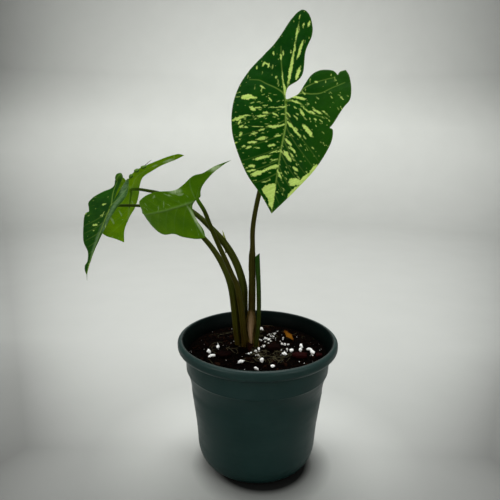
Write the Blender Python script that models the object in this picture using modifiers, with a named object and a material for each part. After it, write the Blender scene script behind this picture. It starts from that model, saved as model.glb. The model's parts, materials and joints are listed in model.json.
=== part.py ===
"""Potted arrowhead plant (syngonium): nursery pot, potting mix, four leaves on petioles.

Units are metres, +Z is up and the origin is the centre of the pot's foot, on the ground.
"""

from math import cos, pi, radians, sin

import bmesh
import bpy
import numpy as np
from mathutils import Euler, Vector, geometry

MM = 0.001
GAP = 0.3 * MM  # clearance kept between pieces that touch

# ---- pot -------------------------------------------------------------------------------
RIM_RADIUS = 55.0 * MM
POT_HEIGHT = 91.3 * MM
LIP_HEIGHT = 8.3 * MM
LIP_OVERHANG = 5.0 * MM  # the rolled lip stands out from the collar by this
COLLAR_HEIGHT = 13.5 * MM
STEP_HEIGHT = 7.5 * MM
STEP_INSET = 3.5 * MM  # from the collar in to the shoulder below it
BASE_RADIUS = 41.8 * MM
BASE_ROUND = 16.0 * MM
FOOT_RADIUS = 28.0 * MM
FOOT_HEIGHT = 2.0 * MM
BASE_STEP = 6.0 * MM  # flat ring between the foot and the rounded base edge
POT_WALL = 1.6 * MM
POT_STEPS = 56
DRAIN_COUNT = 6
DRAIN_RADIUS = 2.6 * MM
DRAIN_SIDES = 14
DRAIN_FLOOR_MARGIN = 1.0 * MM

# ---- potting mix -----------------------------------------------------------------------
SOIL_DEPTH_BELOW_RIM = 10.3 * MM
SOIL_CROWN = 1.2 * MM  # how much higher the middle is than the edge
ROOT_DEPTH = 12.0 * MM  # how far the petioles go down into the mix

# ---- leaves ----------------------------------------------------------------------------
BLADE_THICKNESS = 0.5 * MM
BLADE_CELL = 5.5 * MM  # spacing of the points inside a blade
MARGIN_CELL = 4.0 * MM  # spacing of the points along a blade's margin
ROW_SHARE = 0.866  # height of an equilateral cell, as a share of its side
MARGIN_SHARE = 0.55  # inner points keep this share of a cell from the margin
FOLD_FADE = 14.0 * MM  # the midrib's fold dies out over this length behind the junction
MIDRIB_REACH = (-80 * MM, 100 * MM)  # stretch over which a midrib's bend is worked out
MIDRIB_SAMPLES = 721
PETIOLE_CLEARANCE = 0.6 * MM  # from a petiole's end to its blade's mid surface
PETIOLE_SPACING = 7.0 * MM  # between the rings of a petiole
ROOT_TAPER = 0.8  # a petiole's radius at its lowest point, as a share of its radius at the soil


def clear_scene():
    for thing in list(bpy.data.objects):
        bpy.data.objects.remove(thing, do_unlink=True)


def new_collection(name):
    made = bpy.data.collections.new(name)
    bpy.context.scene.collection.children.link(made)
    return made


clear_scene()
PLANT = new_collection("potted_arrowhead_plant")
CUTTERS = new_collection("cutters")


def material(name, colour, roughness):
    made = bpy.data.materials.new(name)
    made.use_nodes = True
    shader = made.node_tree.nodes["Principled BSDF"]
    shader.inputs["Base Color"].default_value = (*colour, 1.0)
    shader.inputs["Roughness"].default_value = roughness
    shader.inputs["Metallic"].default_value = 0.0
    return made


POT_PLASTIC = material("pot_plastic", (0.012, 0.030, 0.028), 0.5)
POTTING_MIX = material("potting_mix", (0.010, 0.007, 0.005), 0.95)
LEAF_DARK = material("leaf_dark", (0.006, 0.060, 0.008), 0.35)
LEAF_LIGHT = material("leaf_light", (0.060, 0.150, 0.006), 0.45)
PETIOLE_SKIN = material("petiole_skin", (0.030, 0.024, 0.008), 0.5)
CUT_STEM = material("cut_stem", (0.015, 0.050, 0.015), 0.5)
SHEATH_SKIN = material("sheath_skin", (0.360, 0.180, 0.090), 0.6)
PERLITE = material("perlite", (0.800, 0.800, 0.780), 0.9)
BARK = material("bark", (0.050, 0.010, 0.008), 0.85)
DRY_FLAKE = material("dry_flake", (0.420, 0.140, 0.020), 0.8)


def add_object(name, mesh, look, collection=PLANT):
    made = bpy.data.objects.new(name, mesh)
    collection.objects.link(made)
    if look is not None:
        mesh.materials.append(look)
    return made


def smooth_shading(mesh, degrees=40):
    mesh.shade_smooth()
    mesh.set_sharp_from_angle(angle=radians(degrees))


def modifier(thing, name, kind, **settings):
    made = thing.modifiers.new(name, kind)
    for key, value in settings.items():
        setattr(made, key, value)
    return made


def as_cutter(thing):
    thing.hide_render = True
    thing.display_type = "WIRE"
    return thing


def cut(thing, cutter):
    modifier(thing, "cut_" + cutter.name, "BOOLEAN", object=cutter, operation="DIFFERENCE")


def arc_points(centre, radius, start, end, count):
    """Points of an arc in the profile plane, from angle start to angle end in degrees."""
    angles = np.linspace(radians(start), radians(end), count)
    return [(centre[0] + radius * cos(a), centre[1] + radius * sin(a)) for a in angles]


def turned(name, profile, look, steps):
    """A solid turned about Z from a profile in the XZ plane that runs down its outer side."""
    mesh = bpy.data.meshes.new(name)
    edges = [(i, i + 1) for i in range(len(profile) - 1)]
    mesh.from_pydata([(x, 0.0, z) for x, z in profile], edges, [])
    made = add_object(name, mesh, look)
    modifier(
        made, "turn", "SCREW", angle=2 * pi, steps=steps, render_steps=steps,
        use_merge_vertices=True, merge_threshold=0.00001, use_smooth_shade=True,
    )
    return made


# ---- pot -------------------------------------------------------------------------------
COLLAR_RADIUS = RIM_RADIUS - LIP_OVERHANG
SHOULDER_RADIUS = COLLAR_RADIUS - STEP_INSET
LIP_BOTTOM = POT_HEIGHT - LIP_HEIGHT
COLLAR_BOTTOM = LIP_BOTTOM - COLLAR_HEIGHT
SHOULDER_Z = COLLAR_BOTTOM - STEP_HEIGHT
INNER_FLOOR = FOOT_HEIGHT + POT_WALL
COLLAR_DRAFT = 0.8 * MM  # the collar narrows by this from top to bottom
COLLAR_EDGE_HEIGHT = 1.0 * MM  # the bevel at the collar's lower edge
COLLAR_EDGE_INSET = 0.3 * MM
LIP_WIDTH = 3.0 * MM  # the lip's flat top, from its outer edge inwards
LIP_INNER_BEVEL = (0.6 * MM, 0.5 * MM)  # across and down, at the mouth's edge
LIP_TOP_ROUND = 2.4 * MM
LIP_UNDER_ROUND = 3.4 * MM
LIP_ROUND_DROP = 1.6 * MM  # from the centre of the top round down to that of the under round
FOOT_DRAFT = 0.4 * MM  # the foot widens by this from the ground to its top
BASE_ARC_STEPS = 6
BASE_ROUND_INWARD = BASE_RADIUS - FOOT_RADIUS - BASE_STEP  # how far the rounded edge runs in


def body_outer():
    """Outer profile of the pot below the lip, top to bottom, down to the rounded base edge."""
    points = [
        (COLLAR_RADIUS, LIP_BOTTOM),
        (COLLAR_RADIUS - COLLAR_DRAFT, COLLAR_BOTTOM + COLLAR_EDGE_HEIGHT),
        (COLLAR_RADIUS - COLLAR_DRAFT - COLLAR_EDGE_INSET, COLLAR_BOTTOM),
        (SHOULDER_RADIUS, SHOULDER_Z),
        (BASE_RADIUS, BASE_ROUND + FOOT_HEIGHT),
    ]
    for step in range(1, BASE_ARC_STEPS + 1):
        angle = 0.5 * pi * step / BASE_ARC_STEPS
        inward = BASE_ROUND_INWARD * (1 - cos(angle))
        points.append((BASE_RADIUS - inward, FOOT_HEIGHT + BASE_ROUND * (1 - sin(angle))))
    return points


def pot_inner_radius(z):
    """Inside radius of the pot at a height z."""
    outer = body_outer()
    return float(np.interp(z, [p[1] for p in outer[::-1]], [p[0] for p in outer[::-1]])) - POT_WALL


def pot_profile():
    outer = body_outer()
    inner = [(max(x - POT_WALL, 0.0), z) for x, z in outer if z > INNER_FLOOR + POT_WALL]
    inner[0] = (inner[0][0], POT_HEIGHT - LIP_TOP_ROUND)
    floor_edge = pot_inner_radius(INNER_FLOOR + POT_WALL) - POT_WALL
    profile = [(0.0, INNER_FLOOR), (floor_edge, INNER_FLOOR)]
    profile += inner[::-1]
    rim_inner = RIM_RADIUS - LIP_WIDTH
    profile += [(rim_inner - LIP_INNER_BEVEL[0], POT_HEIGHT - LIP_INNER_BEVEL[1]), (rim_inner, POT_HEIGHT)]
    top_centre = (RIM_RADIUS - LIP_TOP_ROUND, POT_HEIGHT - LIP_TOP_ROUND)
    profile += arc_points(top_centre, LIP_TOP_ROUND, 70, 0, 5)
    under_centre = (RIM_RADIUS - LIP_UNDER_ROUND, POT_HEIGHT - LIP_TOP_ROUND - LIP_ROUND_DROP)
    profile += arc_points(under_centre, LIP_UNDER_ROUND, 0, -75, 5)
    profile += outer
    profile += [
        (FOOT_RADIUS + FOOT_DRAFT, FOOT_HEIGHT),
        (FOOT_RADIUS, 0.0),
        (0.0, 0.0),
    ]
    return profile


def make_pot():
    pot = turned("nursery_pot", pot_profile(), POT_PLASTIC, POT_STEPS)
    ring = FOOT_RADIUS + DRAIN_RADIUS + DRAIN_FLOOR_MARGIN
    for index in range(DRAIN_COUNT):
        angle = 2 * pi * (index + 0.5) / DRAIN_COUNT
        shape = bmesh.new()
        bmesh.ops.create_cone(
            shape, cap_ends=True, segments=DRAIN_SIDES, radius1=DRAIN_RADIUS,
            radius2=DRAIN_RADIUS, depth=4 * (FOOT_HEIGHT + POT_WALL),
        )
        mesh = bpy.data.meshes.new("drain_cutter")
        shape.to_mesh(mesh)
        shape.free()
        cutter = add_object(f"drain_cutter_{index + 1}", mesh, None, CUTTERS)
        cutter.location = (ring * cos(angle), ring * sin(angle), FOOT_HEIGHT)
        cut(pot, as_cutter(cutter))
    return pot


# ---- petioles --------------------------------------------------------------------------
def catmull_rom(points, closed, corners=(), per_span=8):
    """A smooth line through points, straight through to the ones listed as corners."""
    given = np.array(points, float)
    count = len(given)
    spans = count if closed else count - 1
    line = []
    for i in range(spans):
        p1, p2 = given[i], given[(i + 1) % count]
        p0 = given[i - 1] if closed or i > 0 else p1
        p3 = given[(i + 2) % count] if closed or i + 2 < count else p2
        start = (p2 - p1) if i in corners else (p2 - p0) / 2
        end = (p2 - p1) if (i + 1) % count in corners else (p3 - p1) / 2
        for t in np.linspace(0, 1, per_span, endpoint=False):
            line.append(
                (2 * t**3 - 3 * t**2 + 1) * p1
                + (t**3 - 2 * t**2 + t) * start
                + (3 * t**2 - 2 * t**3) * p2
                + (t**3 - t**2) * end
            )
    if not closed:
        line.append(given[-1])
    return np.array(line)


def evenly_spaced(line, spacing):
    """Points along a polyline, evenly spaced by about the given distance, ends included."""
    steps = np.linalg.norm(np.diff(line, axis=0), axis=1)
    along = np.concatenate([[0.0], np.cumsum(steps)])
    count = max(2, int(round(along[-1] / spacing)) + 1)
    wanted = np.linspace(0, along[-1], count)
    return np.stack([np.interp(wanted, along, line[:, k]) for k in range(line.shape[1])], axis=1)


def tube(name, route, look, collection=PLANT, swell=0.0):
    """A tapering tube along route, whose rows are x, y, z and radius."""
    line = evenly_spaced(catmull_rom(route, closed=False), PETIOLE_SPACING)
    curve = bpy.data.curves.new(name, "CURVE")
    curve.dimensions = "3D"
    curve.bevel_depth = 1.0
    curve.bevel_resolution = 2
    curve.use_fill_caps = True
    curve.render_resolution_u = 0
    spline = curve.splines.new("POLY")
    spline.points.add(len(line) - 1)
    for point, row in zip(spline.points, line):
        point.co = (*row[:3], 1.0)
        point.radius = row[3] + swell
    source = bpy.data.objects.new(name, curve)
    collection.objects.link(source)
    return to_mesh(source, look, collection)


def to_mesh(source, look, collection):
    """Replace a curve object by a closed mesh object of the same name."""
    bpy.context.view_layer.update()
    evaluated = source.evaluated_get(bpy.context.evaluated_depsgraph_get())
    mesh = bpy.data.meshes.new_from_object(evaluated)
    shape = bmesh.new()
    shape.from_mesh(mesh)
    bmesh.ops.remove_doubles(shape, verts=shape.verts, dist=0.000001)
    bmesh.ops.recalc_face_normals(shape, faces=shape.faces)
    shape.to_mesh(mesh)
    shape.free()
    smooth_shading(mesh, 60)
    placed = source.matrix_world.copy()
    name = source.name
    bpy.data.objects.remove(source, do_unlink=True)
    made = add_object(name, mesh, look, collection)
    made.matrix_world = placed
    return made


SOIL_Z = POT_HEIGHT - SOIL_DEPTH_BELOW_RIM


def route_from(foot, rows):
    """A petiole's route in metres, from rows in mm of x, y, height above the soil and radius."""
    radius = rows[0][3]
    below = [(*foot, -ROOT_DEPTH / MM, radius * ROOT_TAPER), (*foot, 0.0, radius)]
    return [(x * MM, y * MM, SOIL_Z + z * MM, r * MM) for x, y, z, r in below + list(rows)]


# Each leaf's junction is where the petiole meets the blade: x, y and height above the soil.
TALL_JUNCTION = (15.5, 6.0, 167.5)
MIDDLE_JUNCTION = (-38.0, -25.0, 107.5)
UPPER_JUNCTION = (-93.5, 38.0, 107.5)
LOWER_JUNCTION = (-101.0, 13.0, 98.6)

PETIOLES = {
    "tall_petiole": dict(
        foot=(-4.6, 7.0), leaf="tall_leaf_blade", end_radius=1.3, rows=[
            (-4.7, 7.0, 12.0, 2.7), (-4.5, 7.0, 27.0, 2.6), (-4.4, 7.0, 50.0, 2.4),
            (-4.6, 7.0, 65.0, 2.3), (-4.4, 7.0, 72.0, 1.75), (-4.4, 7.0, 84.0, 1.65),
            (-3.0, 7.5, 95.5, 1.6), (-0.2, 8.5, 109.5, 1.6), (4.5, 10.5, 129.0, 1.5),
            (10.0, 11.5, 149.0, 1.4),
        ],
    ),
    "middle_petiole": dict(
        foot=(-8.8, 3.8), leaf="middle_leaf_blade", end_radius=1.1, rows=[
            (-9.7, 3.4, 12.0, 1.9), (-11.2, 2.6, 28.0, 1.8), (-14.0, 0.5, 45.5, 1.7),
            (-17.5, -1.5, 54.3, 1.6), (-21.4, -4.0, 64.2, 1.6), (-27.2, -9.0, 79.0, 1.5),
            (-31.2, -14.5, 91.0, 1.4), (-34.0, -20.0, 100.5, 1.3), (-36.2, -24.2, 105.3, 1.2),
        ],
    ),
    "upper_petiole": dict(
        foot=(-10.2, 10.6), leaf="upper_leaf_blade", end_radius=1.0, rows=[
            (-9.8, 10.6, 15.0, 2.5), (-10.0, 10.6, 33.0, 2.6), (-10.7, 10.8, 43.5, 2.7),
            (-15.0, 12.0, 57.7, 2.6), (-22.0, 14.5, 70.0, 2.5), (-31.0, 18.0, 80.0, 2.2),
            (-45.5, 24.0, 92.0, 1.7), (-65.5, 31.0, 103.0, 1.3), (-83.0, 36.0, 106.4, 1.1),
        ],
    ),
    "lower_petiole": dict(
        foot=(-13.9, 6.4), leaf="lower_leaf_blade", end_radius=0.9, rows=[
            (-15.4, 6.2, 12.0, 2.1), (-17.0, 6.0, 29.0, 2.1), (-19.3, 6.2, 44.5, 2.0),
            (-24.0, 7.2, 57.3, 1.9), (-32.4, 9.0, 71.0, 1.8), (-46.0, 11.5, 85.0, 1.5),
            (-57.7, 13.5, 93.0, 1.3), (-71.5, 15.0, 97.0, 1.1), (-85.0, 16.0, 98.0, 1.0),
        ],
    ),
}
CUT_PETIOLE_FOOT = (-1.2, 3.0)
CUT_PETIOLE_ROUTE = [
    (0.2, 3.4, 14.0, 1.35), (0.7, 3.6, 27.0, 1.3), (0.4, 4.0, 42.0, 1.3), (-0.3, 4.4, 57.0, 1.25),
    (-0.8, 4.6, 67.0, 1.2),
]

# ---- blades ----------------------------------------------------------------------------
# Outlines are in mm in the blade's own plane: x across, y from the junction towards the tip.
# heading, dip and roll aim the midrib. back, droop and hook are its bends in degrees per
# 10 mm: along the basal lobes, towards the tip, and past hook_from; a plus value bends the
# tip down. fold raises each half and curl, in degrees per 10 mm, lets it fall again; both
# are given for the +x half and then the -x half.
BLADES = {
    "tall_leaf_blade": dict(
        junction=TALL_JUNCTION, heading=-102.0, dip=-66.0, roll=0.0,
        back=-0.6, droop=1.7, hook=0.0, hook_from=60.0,
        fold=(7.0, 7.0), curl=(2.3, 2.3), look=LEAF_DARK,
        midrib=((0.0, 0.0), (16.0, -1.5), (35.0, 0.5), (54.0, 2.0), (73.0, 3.5)),
        corners=(16, 21, 27, 29),
        outline=(
            (0.0, -1.5), (-0.5, -9.0), (-7.0, -14.0), (-9.5, -20.0), (-9.8, -34.0), (-13.0, -45.0),
            (-12.5, -53.0), (-9.5, -60.5), (-4.5, -63.0), (1.5, -56.5), (10.0, -41.5), (27.0, -20.0),
            (33.5, -1.0), (32.5, 22.0), (22.0, 46.5), (11.0, 61.0), (3.5, 72.5), (-9.0, 59.5),
            (-22.0, 44.5), (-30.0, 29.5), (-31.2, 20.5), (-29.0, 18.5), (-31.2, 15.5), (-36.5, 5.5),
            (-40.0, 0.0), (-40.2, -8.5), (-38.4, -17.0), (-36.0, -21.3), (-32.6, -20.0),
            (-31.2, -17.6), (-28.6, -20.2), (-24.0, -21.0), (-19.0, -20.2), (-14.6, -17.0),
            (-11.5, -11.5), (-8.2, -5.0), (-4.5, -2.5),
        ),
    ),
    "middle_leaf_blade": dict(
        junction=MIDDLE_JUNCTION, heading=158.0, dip=-18.0, roll=68.0,
        back=2.3, droop=-4.0, hook=-40.0, hook_from=41.0,
        fold=(12.0, 4.0), curl=(5.0, 2.3), look=LEAF_LIGHT,
        midrib=((0.0, 0.0), (60.0, 2.0)),
        corners=(7, 16, 22),
        outline=(
            (-0.5, 0.0), (-1.5, -3.5), (-5.0, -5.5), (-8.5, -9.5), (-13.0, -18.0), (-15.5, -25.0),
            (-17.0, -30.0), (-17.8, -34.0), (-17.6, -28.0), (-17.0, -21.5), (-15.2, -13.0),
            (-15.0, -5.0), (-11.6, 4.0), (-10.0, 12.0), (-12.0, 28.0), (-8.0, 44.0), (3.0, 60.0),
            (13.0, 50.0),
            (19.5, 42.0), (20.0, 32.0), (23.0, 26.0), (26.5, 16.0), (27.0, 9.0), (21.0, 7.5),
            (14.5, 8.0), (7.5, 7.0), (2.5, 4.5),
        ),
    ),
    "upper_leaf_blade": dict(
        junction=UPPER_JUNCTION, heading=132.0, dip=-72.0, roll=0.0,
        back=-1.1, droop=2.3, hook=0.0, hook_from=40.0,
        fold=(20.0, 22.0), curl=(3.4, 3.4), look=LEAF_LIGHT,
        midrib=((0.0, 0.0), (46.0, -1.0)),
        corners=(6, 15),
        outline=(
            (0.0, -2.0), (-3.5, -5.0), (0.0, -11.5), (6.0, -15.5), (20.0, -21.5), (33.0, -26.0),
            (39.0, -25.5), (33.0, -22.0), (21.0, -16.5), (10.0, -8.5), (8.6, -1.0), (9.0, 7.0),
            (6.5, 16.0), (0.5, 24.0), (-2.5, 33.0), (-2.5, 43.0), (-9.5, 39.8), (-16.0, 37.5),
            (-20.5, 32.0), (-20.5, 18.0), (-16.0, 5.0), (-10.0, -4.0), (-7.0, -8.0), (-4.8, -6.4),
        ),
    ),
    "lower_leaf_blade": dict(
        junction=LOWER_JUNCTION, heading=-153.0, dip=-64.0, roll=-22.0,
        back=-1.1, droop=1.7, hook=12.0, hook_from=46.0,
        fold=(20.0, 20.0), curl=(2.3, 0.0), look=LEAF_DARK,
        midrib=((0.0, 0.0), (60.0, 0.0)),
        corners=(12, 21),
        outline=(
            (-0.5, -4.0), (0.0, -13.0), (0.2, -18.0), (1.6, -21.6), (4.8, -22.6), (7.6, -20.6),
            (7.6, -16.6), (6.0, -12.0), (12.5, -5.5), (17.5, 2.0), (18.5, 5.5), (16.8, 8.0),
            (15.3, 10.5), (17.5, 13.5), (15.5, 20.5), (11.0, 30.5), (4.5, 36.0), (2.4, 42.0),
            (3.3, 46.0), (1.8, 49.5), (-0.8, 52.0), (-3.2, 54.6), (-0.9, 50.5), (-0.2, 46.0),
            (-0.6, 42.0), (-1.0, 34.0), (-4.6, 23.0), (-10.0, 9.0), (-14.6, -3.0), (-11.5, -13.0),
            (-6.0, -21.0), (-3.5, -15.0),
        ),
    ),
}


def per_metre(degrees_per_10mm):
    return radians(degrees_per_10mm) / (10 * MM)


def midrib_path(spec, y):
    """Run, height and slope of the midrib at distances y from the junction along the blade."""
    steps = np.linspace(MIDRIB_REACH[0], MIDRIB_REACH[1], MIDRIB_SAMPLES)
    bend = np.where(steps > 0, per_metre(spec["droop"]), per_metre(spec["back"]))
    bend = np.where(steps > spec["hook_from"] * MM, per_metre(spec["hook"]), bend)
    step = steps[1] - steps[0]
    slope = -np.cumsum(bend) * step
    run = np.cumsum(np.cos(slope)) * step
    height = np.cumsum(np.sin(slope)) * step
    at_zero = [np.interp(0.0, steps, values) for values in (slope, run, height)]
    turn = at_zero[0]
    run, height = run - at_zero[1], height - at_zero[2]
    run, height = run * cos(turn) + height * sin(turn), height * cos(turn) - run * sin(turn)
    return [np.interp(y, steps, values) for values in (run, height, slope - turn)]


def arc_run(start, curvature, length):
    """Run and rise of an arc that starts at an angle and bends down by curvature per metre."""
    bent = np.where(np.abs(curvature) < 1e-6, 1e-6, curvature)
    run = (np.sin(start) - np.sin(start - bent * length)) / bent
    rise = (np.cos(start - bent * length) - np.cos(start)) / bent
    return run, rise


def bend_blade(flat, spec):
    """Local 3D points of the blade's mid surface for flat points of shape (n, 2), in metres."""
    x, y = flat[:, 0], flat[:, 1]
    rib = np.array(spec["midrib"]) * MM
    middle = np.interp(y, rib[:, 0], rib[:, 1])
    off = x - middle
    right = off > 0
    fade = np.clip(1 + y / FOLD_FADE, 0, 1)
    fold = np.where(right, radians(spec["fold"][0]), radians(spec["fold"][1])) * fade
    curl = np.where(right, per_metre(spec["curl"][0]), per_metre(spec["curl"][1]))
    across, rise = arc_run(fold, curl, np.abs(off))
    run, height, slope = midrib_path(spec, y)
    return np.stack(
        [
            middle + across * np.sign(off),
            run - np.sin(slope) * rise,
            height + np.cos(slope) * rise,
        ],
        axis=1,
    )


def inside(point, polygon):
    """Whether a flat point lies inside a closed polygon."""
    x, y = point
    ahead = np.roll(polygon, -1, axis=0)
    crosses = (polygon[:, 1] > y) != (ahead[:, 1] > y)
    side = ahead - polygon
    with np.errstate(divide="ignore", invalid="ignore"):
        at = polygon[:, 0] + (y - polygon[:, 1]) / side[:, 1] * side[:, 0]
    return int(np.count_nonzero(crosses & (at > x))) % 2 == 1


def blade_sheet(spec):
    """Flat points and triangles that fill a blade's outline with evenly spaced cells."""
    line = catmull_rom(np.array(spec["outline"]) * MM, closed=True, corners=spec["corners"])
    margin = evenly_spaced(np.vstack([line, line[:1]]), MARGIN_CELL)[:-1]
    low, high = margin.min(axis=0), margin.max(axis=0)
    points = [tuple(p) for p in margin]
    row_height = BLADE_CELL * ROW_SHARE
    for row in range(int((high[1] - low[1]) / row_height) + 1):
        shift = 0.5 * BLADE_CELL * (row % 2)
        for column in range(int((high[0] - low[0]) / BLADE_CELL) + 1):
            point = np.array((low[0] + shift + column * BLADE_CELL, low[1] + row * row_height))
            clear = np.linalg.norm(margin - point, axis=1).min() > MARGIN_SHARE * BLADE_CELL
            if clear and inside(point, margin):
                points.append(tuple(point))
    count = len(margin)
    edges = [(i, (i + 1) % count) for i in range(count)]
    inside_only = 1
    result = geometry.delaunay_2d_cdt([Vector(p) for p in points], edges, [], inside_only, 1e-7)
    return np.array([tuple(p) for p in result[0]]), result[2]


def make_blade(name, spec):
    """A leaf blade: a bent sheet given its thickness, placed with the junction at its origin."""
    flat, triangles = blade_sheet(spec)
    mesh = bpy.data.meshes.new(name)
    mesh.from_pydata([tuple(p) for p in bend_blade(flat, spec)], [], [tuple(t) for t in triangles])
    smooth_shading(mesh, 60)
    blade = add_object(name, mesh, spec["look"])
    modifier(blade, "thickness", "SOLIDIFY", thickness=BLADE_THICKNESS, offset=0.0)
    x, y, height = spec["junction"]
    blade.location = (x * MM, y * MM, SOIL_Z + height * MM)
    blade.rotation_mode = "YXZ"
    blade.rotation_euler = blade_turn(spec)
    return blade


def blade_turn(spec):
    return Euler((radians(spec["dip"]), radians(spec["roll"]), radians(spec["heading"] - 90)), "YXZ")


def petiole_route(spec):
    """The petiole's rows, ended just under its blade's junction."""
    blade = BLADES[spec["leaf"]]
    normal = blade_turn(blade).to_matrix() @ Vector((0, 0, 1))
    stand_off = spec["end_radius"] + PETIOLE_CLEARANCE / MM
    end = Vector(blade["junction"]) - normal * stand_off
    return route_from(spec["foot"], [*spec["rows"], (*end, spec["end_radius"])])


# ---- potting mix -----------------------------------------------------------------------
SOIL_RADIUS = pot_inner_radius(SOIL_Z) - GAP
SOIL_STEPS = 40
SOIL_SURFACE = [(0.0, 1.0), (0.45, 1.0), (0.8, 0.4), (1.0, 0.0)]  # shares of radius and crown
SOCKET_REACH = 40.0 * MM  # a socket's cutter goes on up the petiole by this


def soil_height(radius):
    """Height of the mix's surface at a distance from the middle."""
    shares = [p[0] * SOIL_RADIUS for p in SOIL_SURFACE]
    return SOIL_Z + SOIL_CROWN * float(np.interp(radius, shares, [p[1] for p in SOIL_SURFACE]))


def make_soil(routes):
    """The potting mix: a plug that fits the pot, with a socket for each petiole."""
    bottom = INNER_FLOOR + GAP
    heights = [SHOULDER_Z, BASE_ROUND + FOOT_HEIGHT, 0.5 * (BASE_ROUND + FOOT_HEIGHT)]
    profile = [(share * SOIL_RADIUS, soil_height(share * SOIL_RADIUS)) for share, _ in SOIL_SURFACE]
    profile += [(pot_inner_radius(z) - GAP, z) for z in heights]
    floor_edge = pot_inner_radius(INNER_FLOOR + POT_WALL) - POT_WALL - GAP
    profile += [(floor_edge - GAP, bottom), (0.0, bottom)]
    soil = turned("potting_mix", profile, POTTING_MIX, SOIL_STEPS)
    for name, route in routes.items():
        cutter = tube(name + "_socket", route, None, CUTTERS, swell=GAP)
        cut(soil, as_cutter(cutter))
    return soil


# ---- what lies on the potting mix -------------------------------------------------------
# Each lump is given by its place, as a share of the mix's radius and an angle in degrees,
# its length, width and height in mm, and its turn about Z in degrees.
LUMPS = {
    "perlite_01": (0.71, 194, (2.6, 2.4, 2.4), 0), "perlite_02": (0.57, 181, (3.9, 2.3, 2.2), 20),
    "perlite_03": (0.70, 205, (3.6, 2.2, 2.0), -40), "perlite_04": (0.54, 246, (4.0, 2.6, 2.2), -25),
    "perlite_05": (0.46, 278, (3.4, 3.2, 2.8), 10), "perlite_06": (0.67, 269, (2.8, 1.8, 1.8), 15),
    "perlite_07": (0.63, 289, (3.4, 1.8, 1.8), 50), "perlite_08": (0.71, 85, (3.0, 2.0, 2.4), -50),
    "perlite_09": (0.50, 348, (3.4, 2.2, 2.2), -30), "perlite_10": (0.64, 6, (2.8, 2.4, 2.4), 0),
    "perlite_11": (0.62, 352, (2.6, 2.4, 2.4), 0), "perlite_12": (0.80, 351, (3.0, 2.6, 2.4), 60),
    "perlite_13": (0.75, 357, (2.6, 2.4, 2.4), 0), "perlite_14": (0.44, 330, (3.0, 2.6, 2.0), 40),
    "bark_chip_01": (0.54, 209, (12.0, 8.0, 2.4), -35), "bark_chip_02": (0.66, 336, (11.0, 7.0, 2.6), 15),
    "bark_chip_03": (0.89, 346, (5.0, 5.5, 2.2), 30), "bark_chip_04": (0.24, 352, (10.0, 8.0, 3.0), 0),
    "dry_flake": (0.58, 36, (11.0, 4.2, 1.4), -52),
}
LUMP_LOOKS = {"perlite": PERLITE, "bark": BARK, "dry": DRY_FLAKE}
LUMP_ROUGHNESS = 0.16  # share of its size by which a lump's surface strays from an ellipsoid


def make_lump(name, spec, seed):
    """A rough grain or chip that rests on the potting mix."""
    share, angle, size, turn = spec
    shape = bmesh.new()
    bmesh.ops.create_icosphere(shape, subdivisions=2, radius=0.5)
    rng = np.random.default_rng(seed)
    for vert in shape.verts:
        stray = 1 + LUMP_ROUGHNESS * rng.uniform(-1, 1)
        vert.co = Vector([vert.co[k] * size[k] * MM * stray for k in range(3)])
    mesh = bpy.data.meshes.new(name)
    shape.to_mesh(mesh)
    shape.free()
    lump = add_object(name, mesh, LUMP_LOOKS[name.split("_")[0]])
    lump.rotation_euler = (0.0, 0.0, radians(turn))
    distance = share * SOIL_RADIUS
    lowest = min(vert.co.z for vert in mesh.vertices)
    reach = 0.5 * max(size[:2]) * MM
    seat = soil_height(max(distance - reach, 0.0)) + GAP
    lump.location = (distance * cos(radians(angle)), distance * sin(radians(angle)), seat - lowest)
    return lump


# ---- dry sheath around the tall petiole's foot ---------------------------------------------
SHEATH_HEIGHT = 21.0 * MM
SHEATH_HALF_ANGLE = 42.0
SHEATH_FACING = -88.0
SHEATH_THICKNESS = 0.5 * MM
SHEATH_TAPER = 0.85  # share of its width that the sheath loses by its tip
SHEATH_ROWS = 7
SHEATH_COLUMNS = 5


def make_sheath(route):
    """A papery leaf sheath that hugs the front of a petiole and tapers to a point."""
    foot = Vector(route[1][:3])
    radius = max(row[3] for row in route) + GAP + 0.5 * SHEATH_THICKNESS
    top = Vector(route[2][:3]) - foot
    points = []
    for row in range(SHEATH_ROWS):
        share = row / (SHEATH_ROWS - 1)
        half = SHEATH_HALF_ANGLE * (1 - SHEATH_TAPER * share**2)
        z = soil_height(0.0) - foot.z + GAP + share * SHEATH_HEIGHT
        axis = foot + top * (z / top.z)
        for column in range(SHEATH_COLUMNS):
            angle = radians(SHEATH_FACING + half * (2 * column / (SHEATH_COLUMNS - 1) - 1))
            points.append((axis.x + radius * cos(angle), axis.y + radius * sin(angle), axis.z))
    faces = []
    for row in range(SHEATH_ROWS - 1):
        for column in range(SHEATH_COLUMNS - 1):
            first = row * SHEATH_COLUMNS + column
            faces.append((first, first + 1, first + 1 + SHEATH_COLUMNS, first + SHEATH_COLUMNS))
    mesh = bpy.data.meshes.new("basal_sheath")
    mesh.from_pydata(points, [], faces)
    mesh.shade_smooth()
    sheath = add_object("basal_sheath", mesh, SHEATH_SKIN)
    modifier(sheath, "thickness", "SOLIDIFY", thickness=SHEATH_THICKNESS, offset=0.0)
    return sheath


def main():
    make_pot()
    routes = {name: petiole_route(spec) for name, spec in PETIOLES.items()}
    routes["cut_petiole"] = route_from(CUT_PETIOLE_FOOT, CUT_PETIOLE_ROUTE)
    for name, route in routes.items():
        tube(name, route, CUT_STEM if name == "cut_petiole" else PETIOLE_SKIN)
    top = SOIL_Z + SOCKET_REACH
    make_soil({name: [row for row in route if row[2] < top] for name, route in routes.items()})
    make_sheath(routes["tall_petiole"])
    for name, spec in BLADES.items():
        make_blade(name, spec)
    for seed, (name, spec) in enumerate(LUMPS.items()):
        make_lump(name, spec, seed)


main()
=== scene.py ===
"""Potted arrowhead plant: the detailed look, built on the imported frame. Metres, +Z up."""

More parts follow.
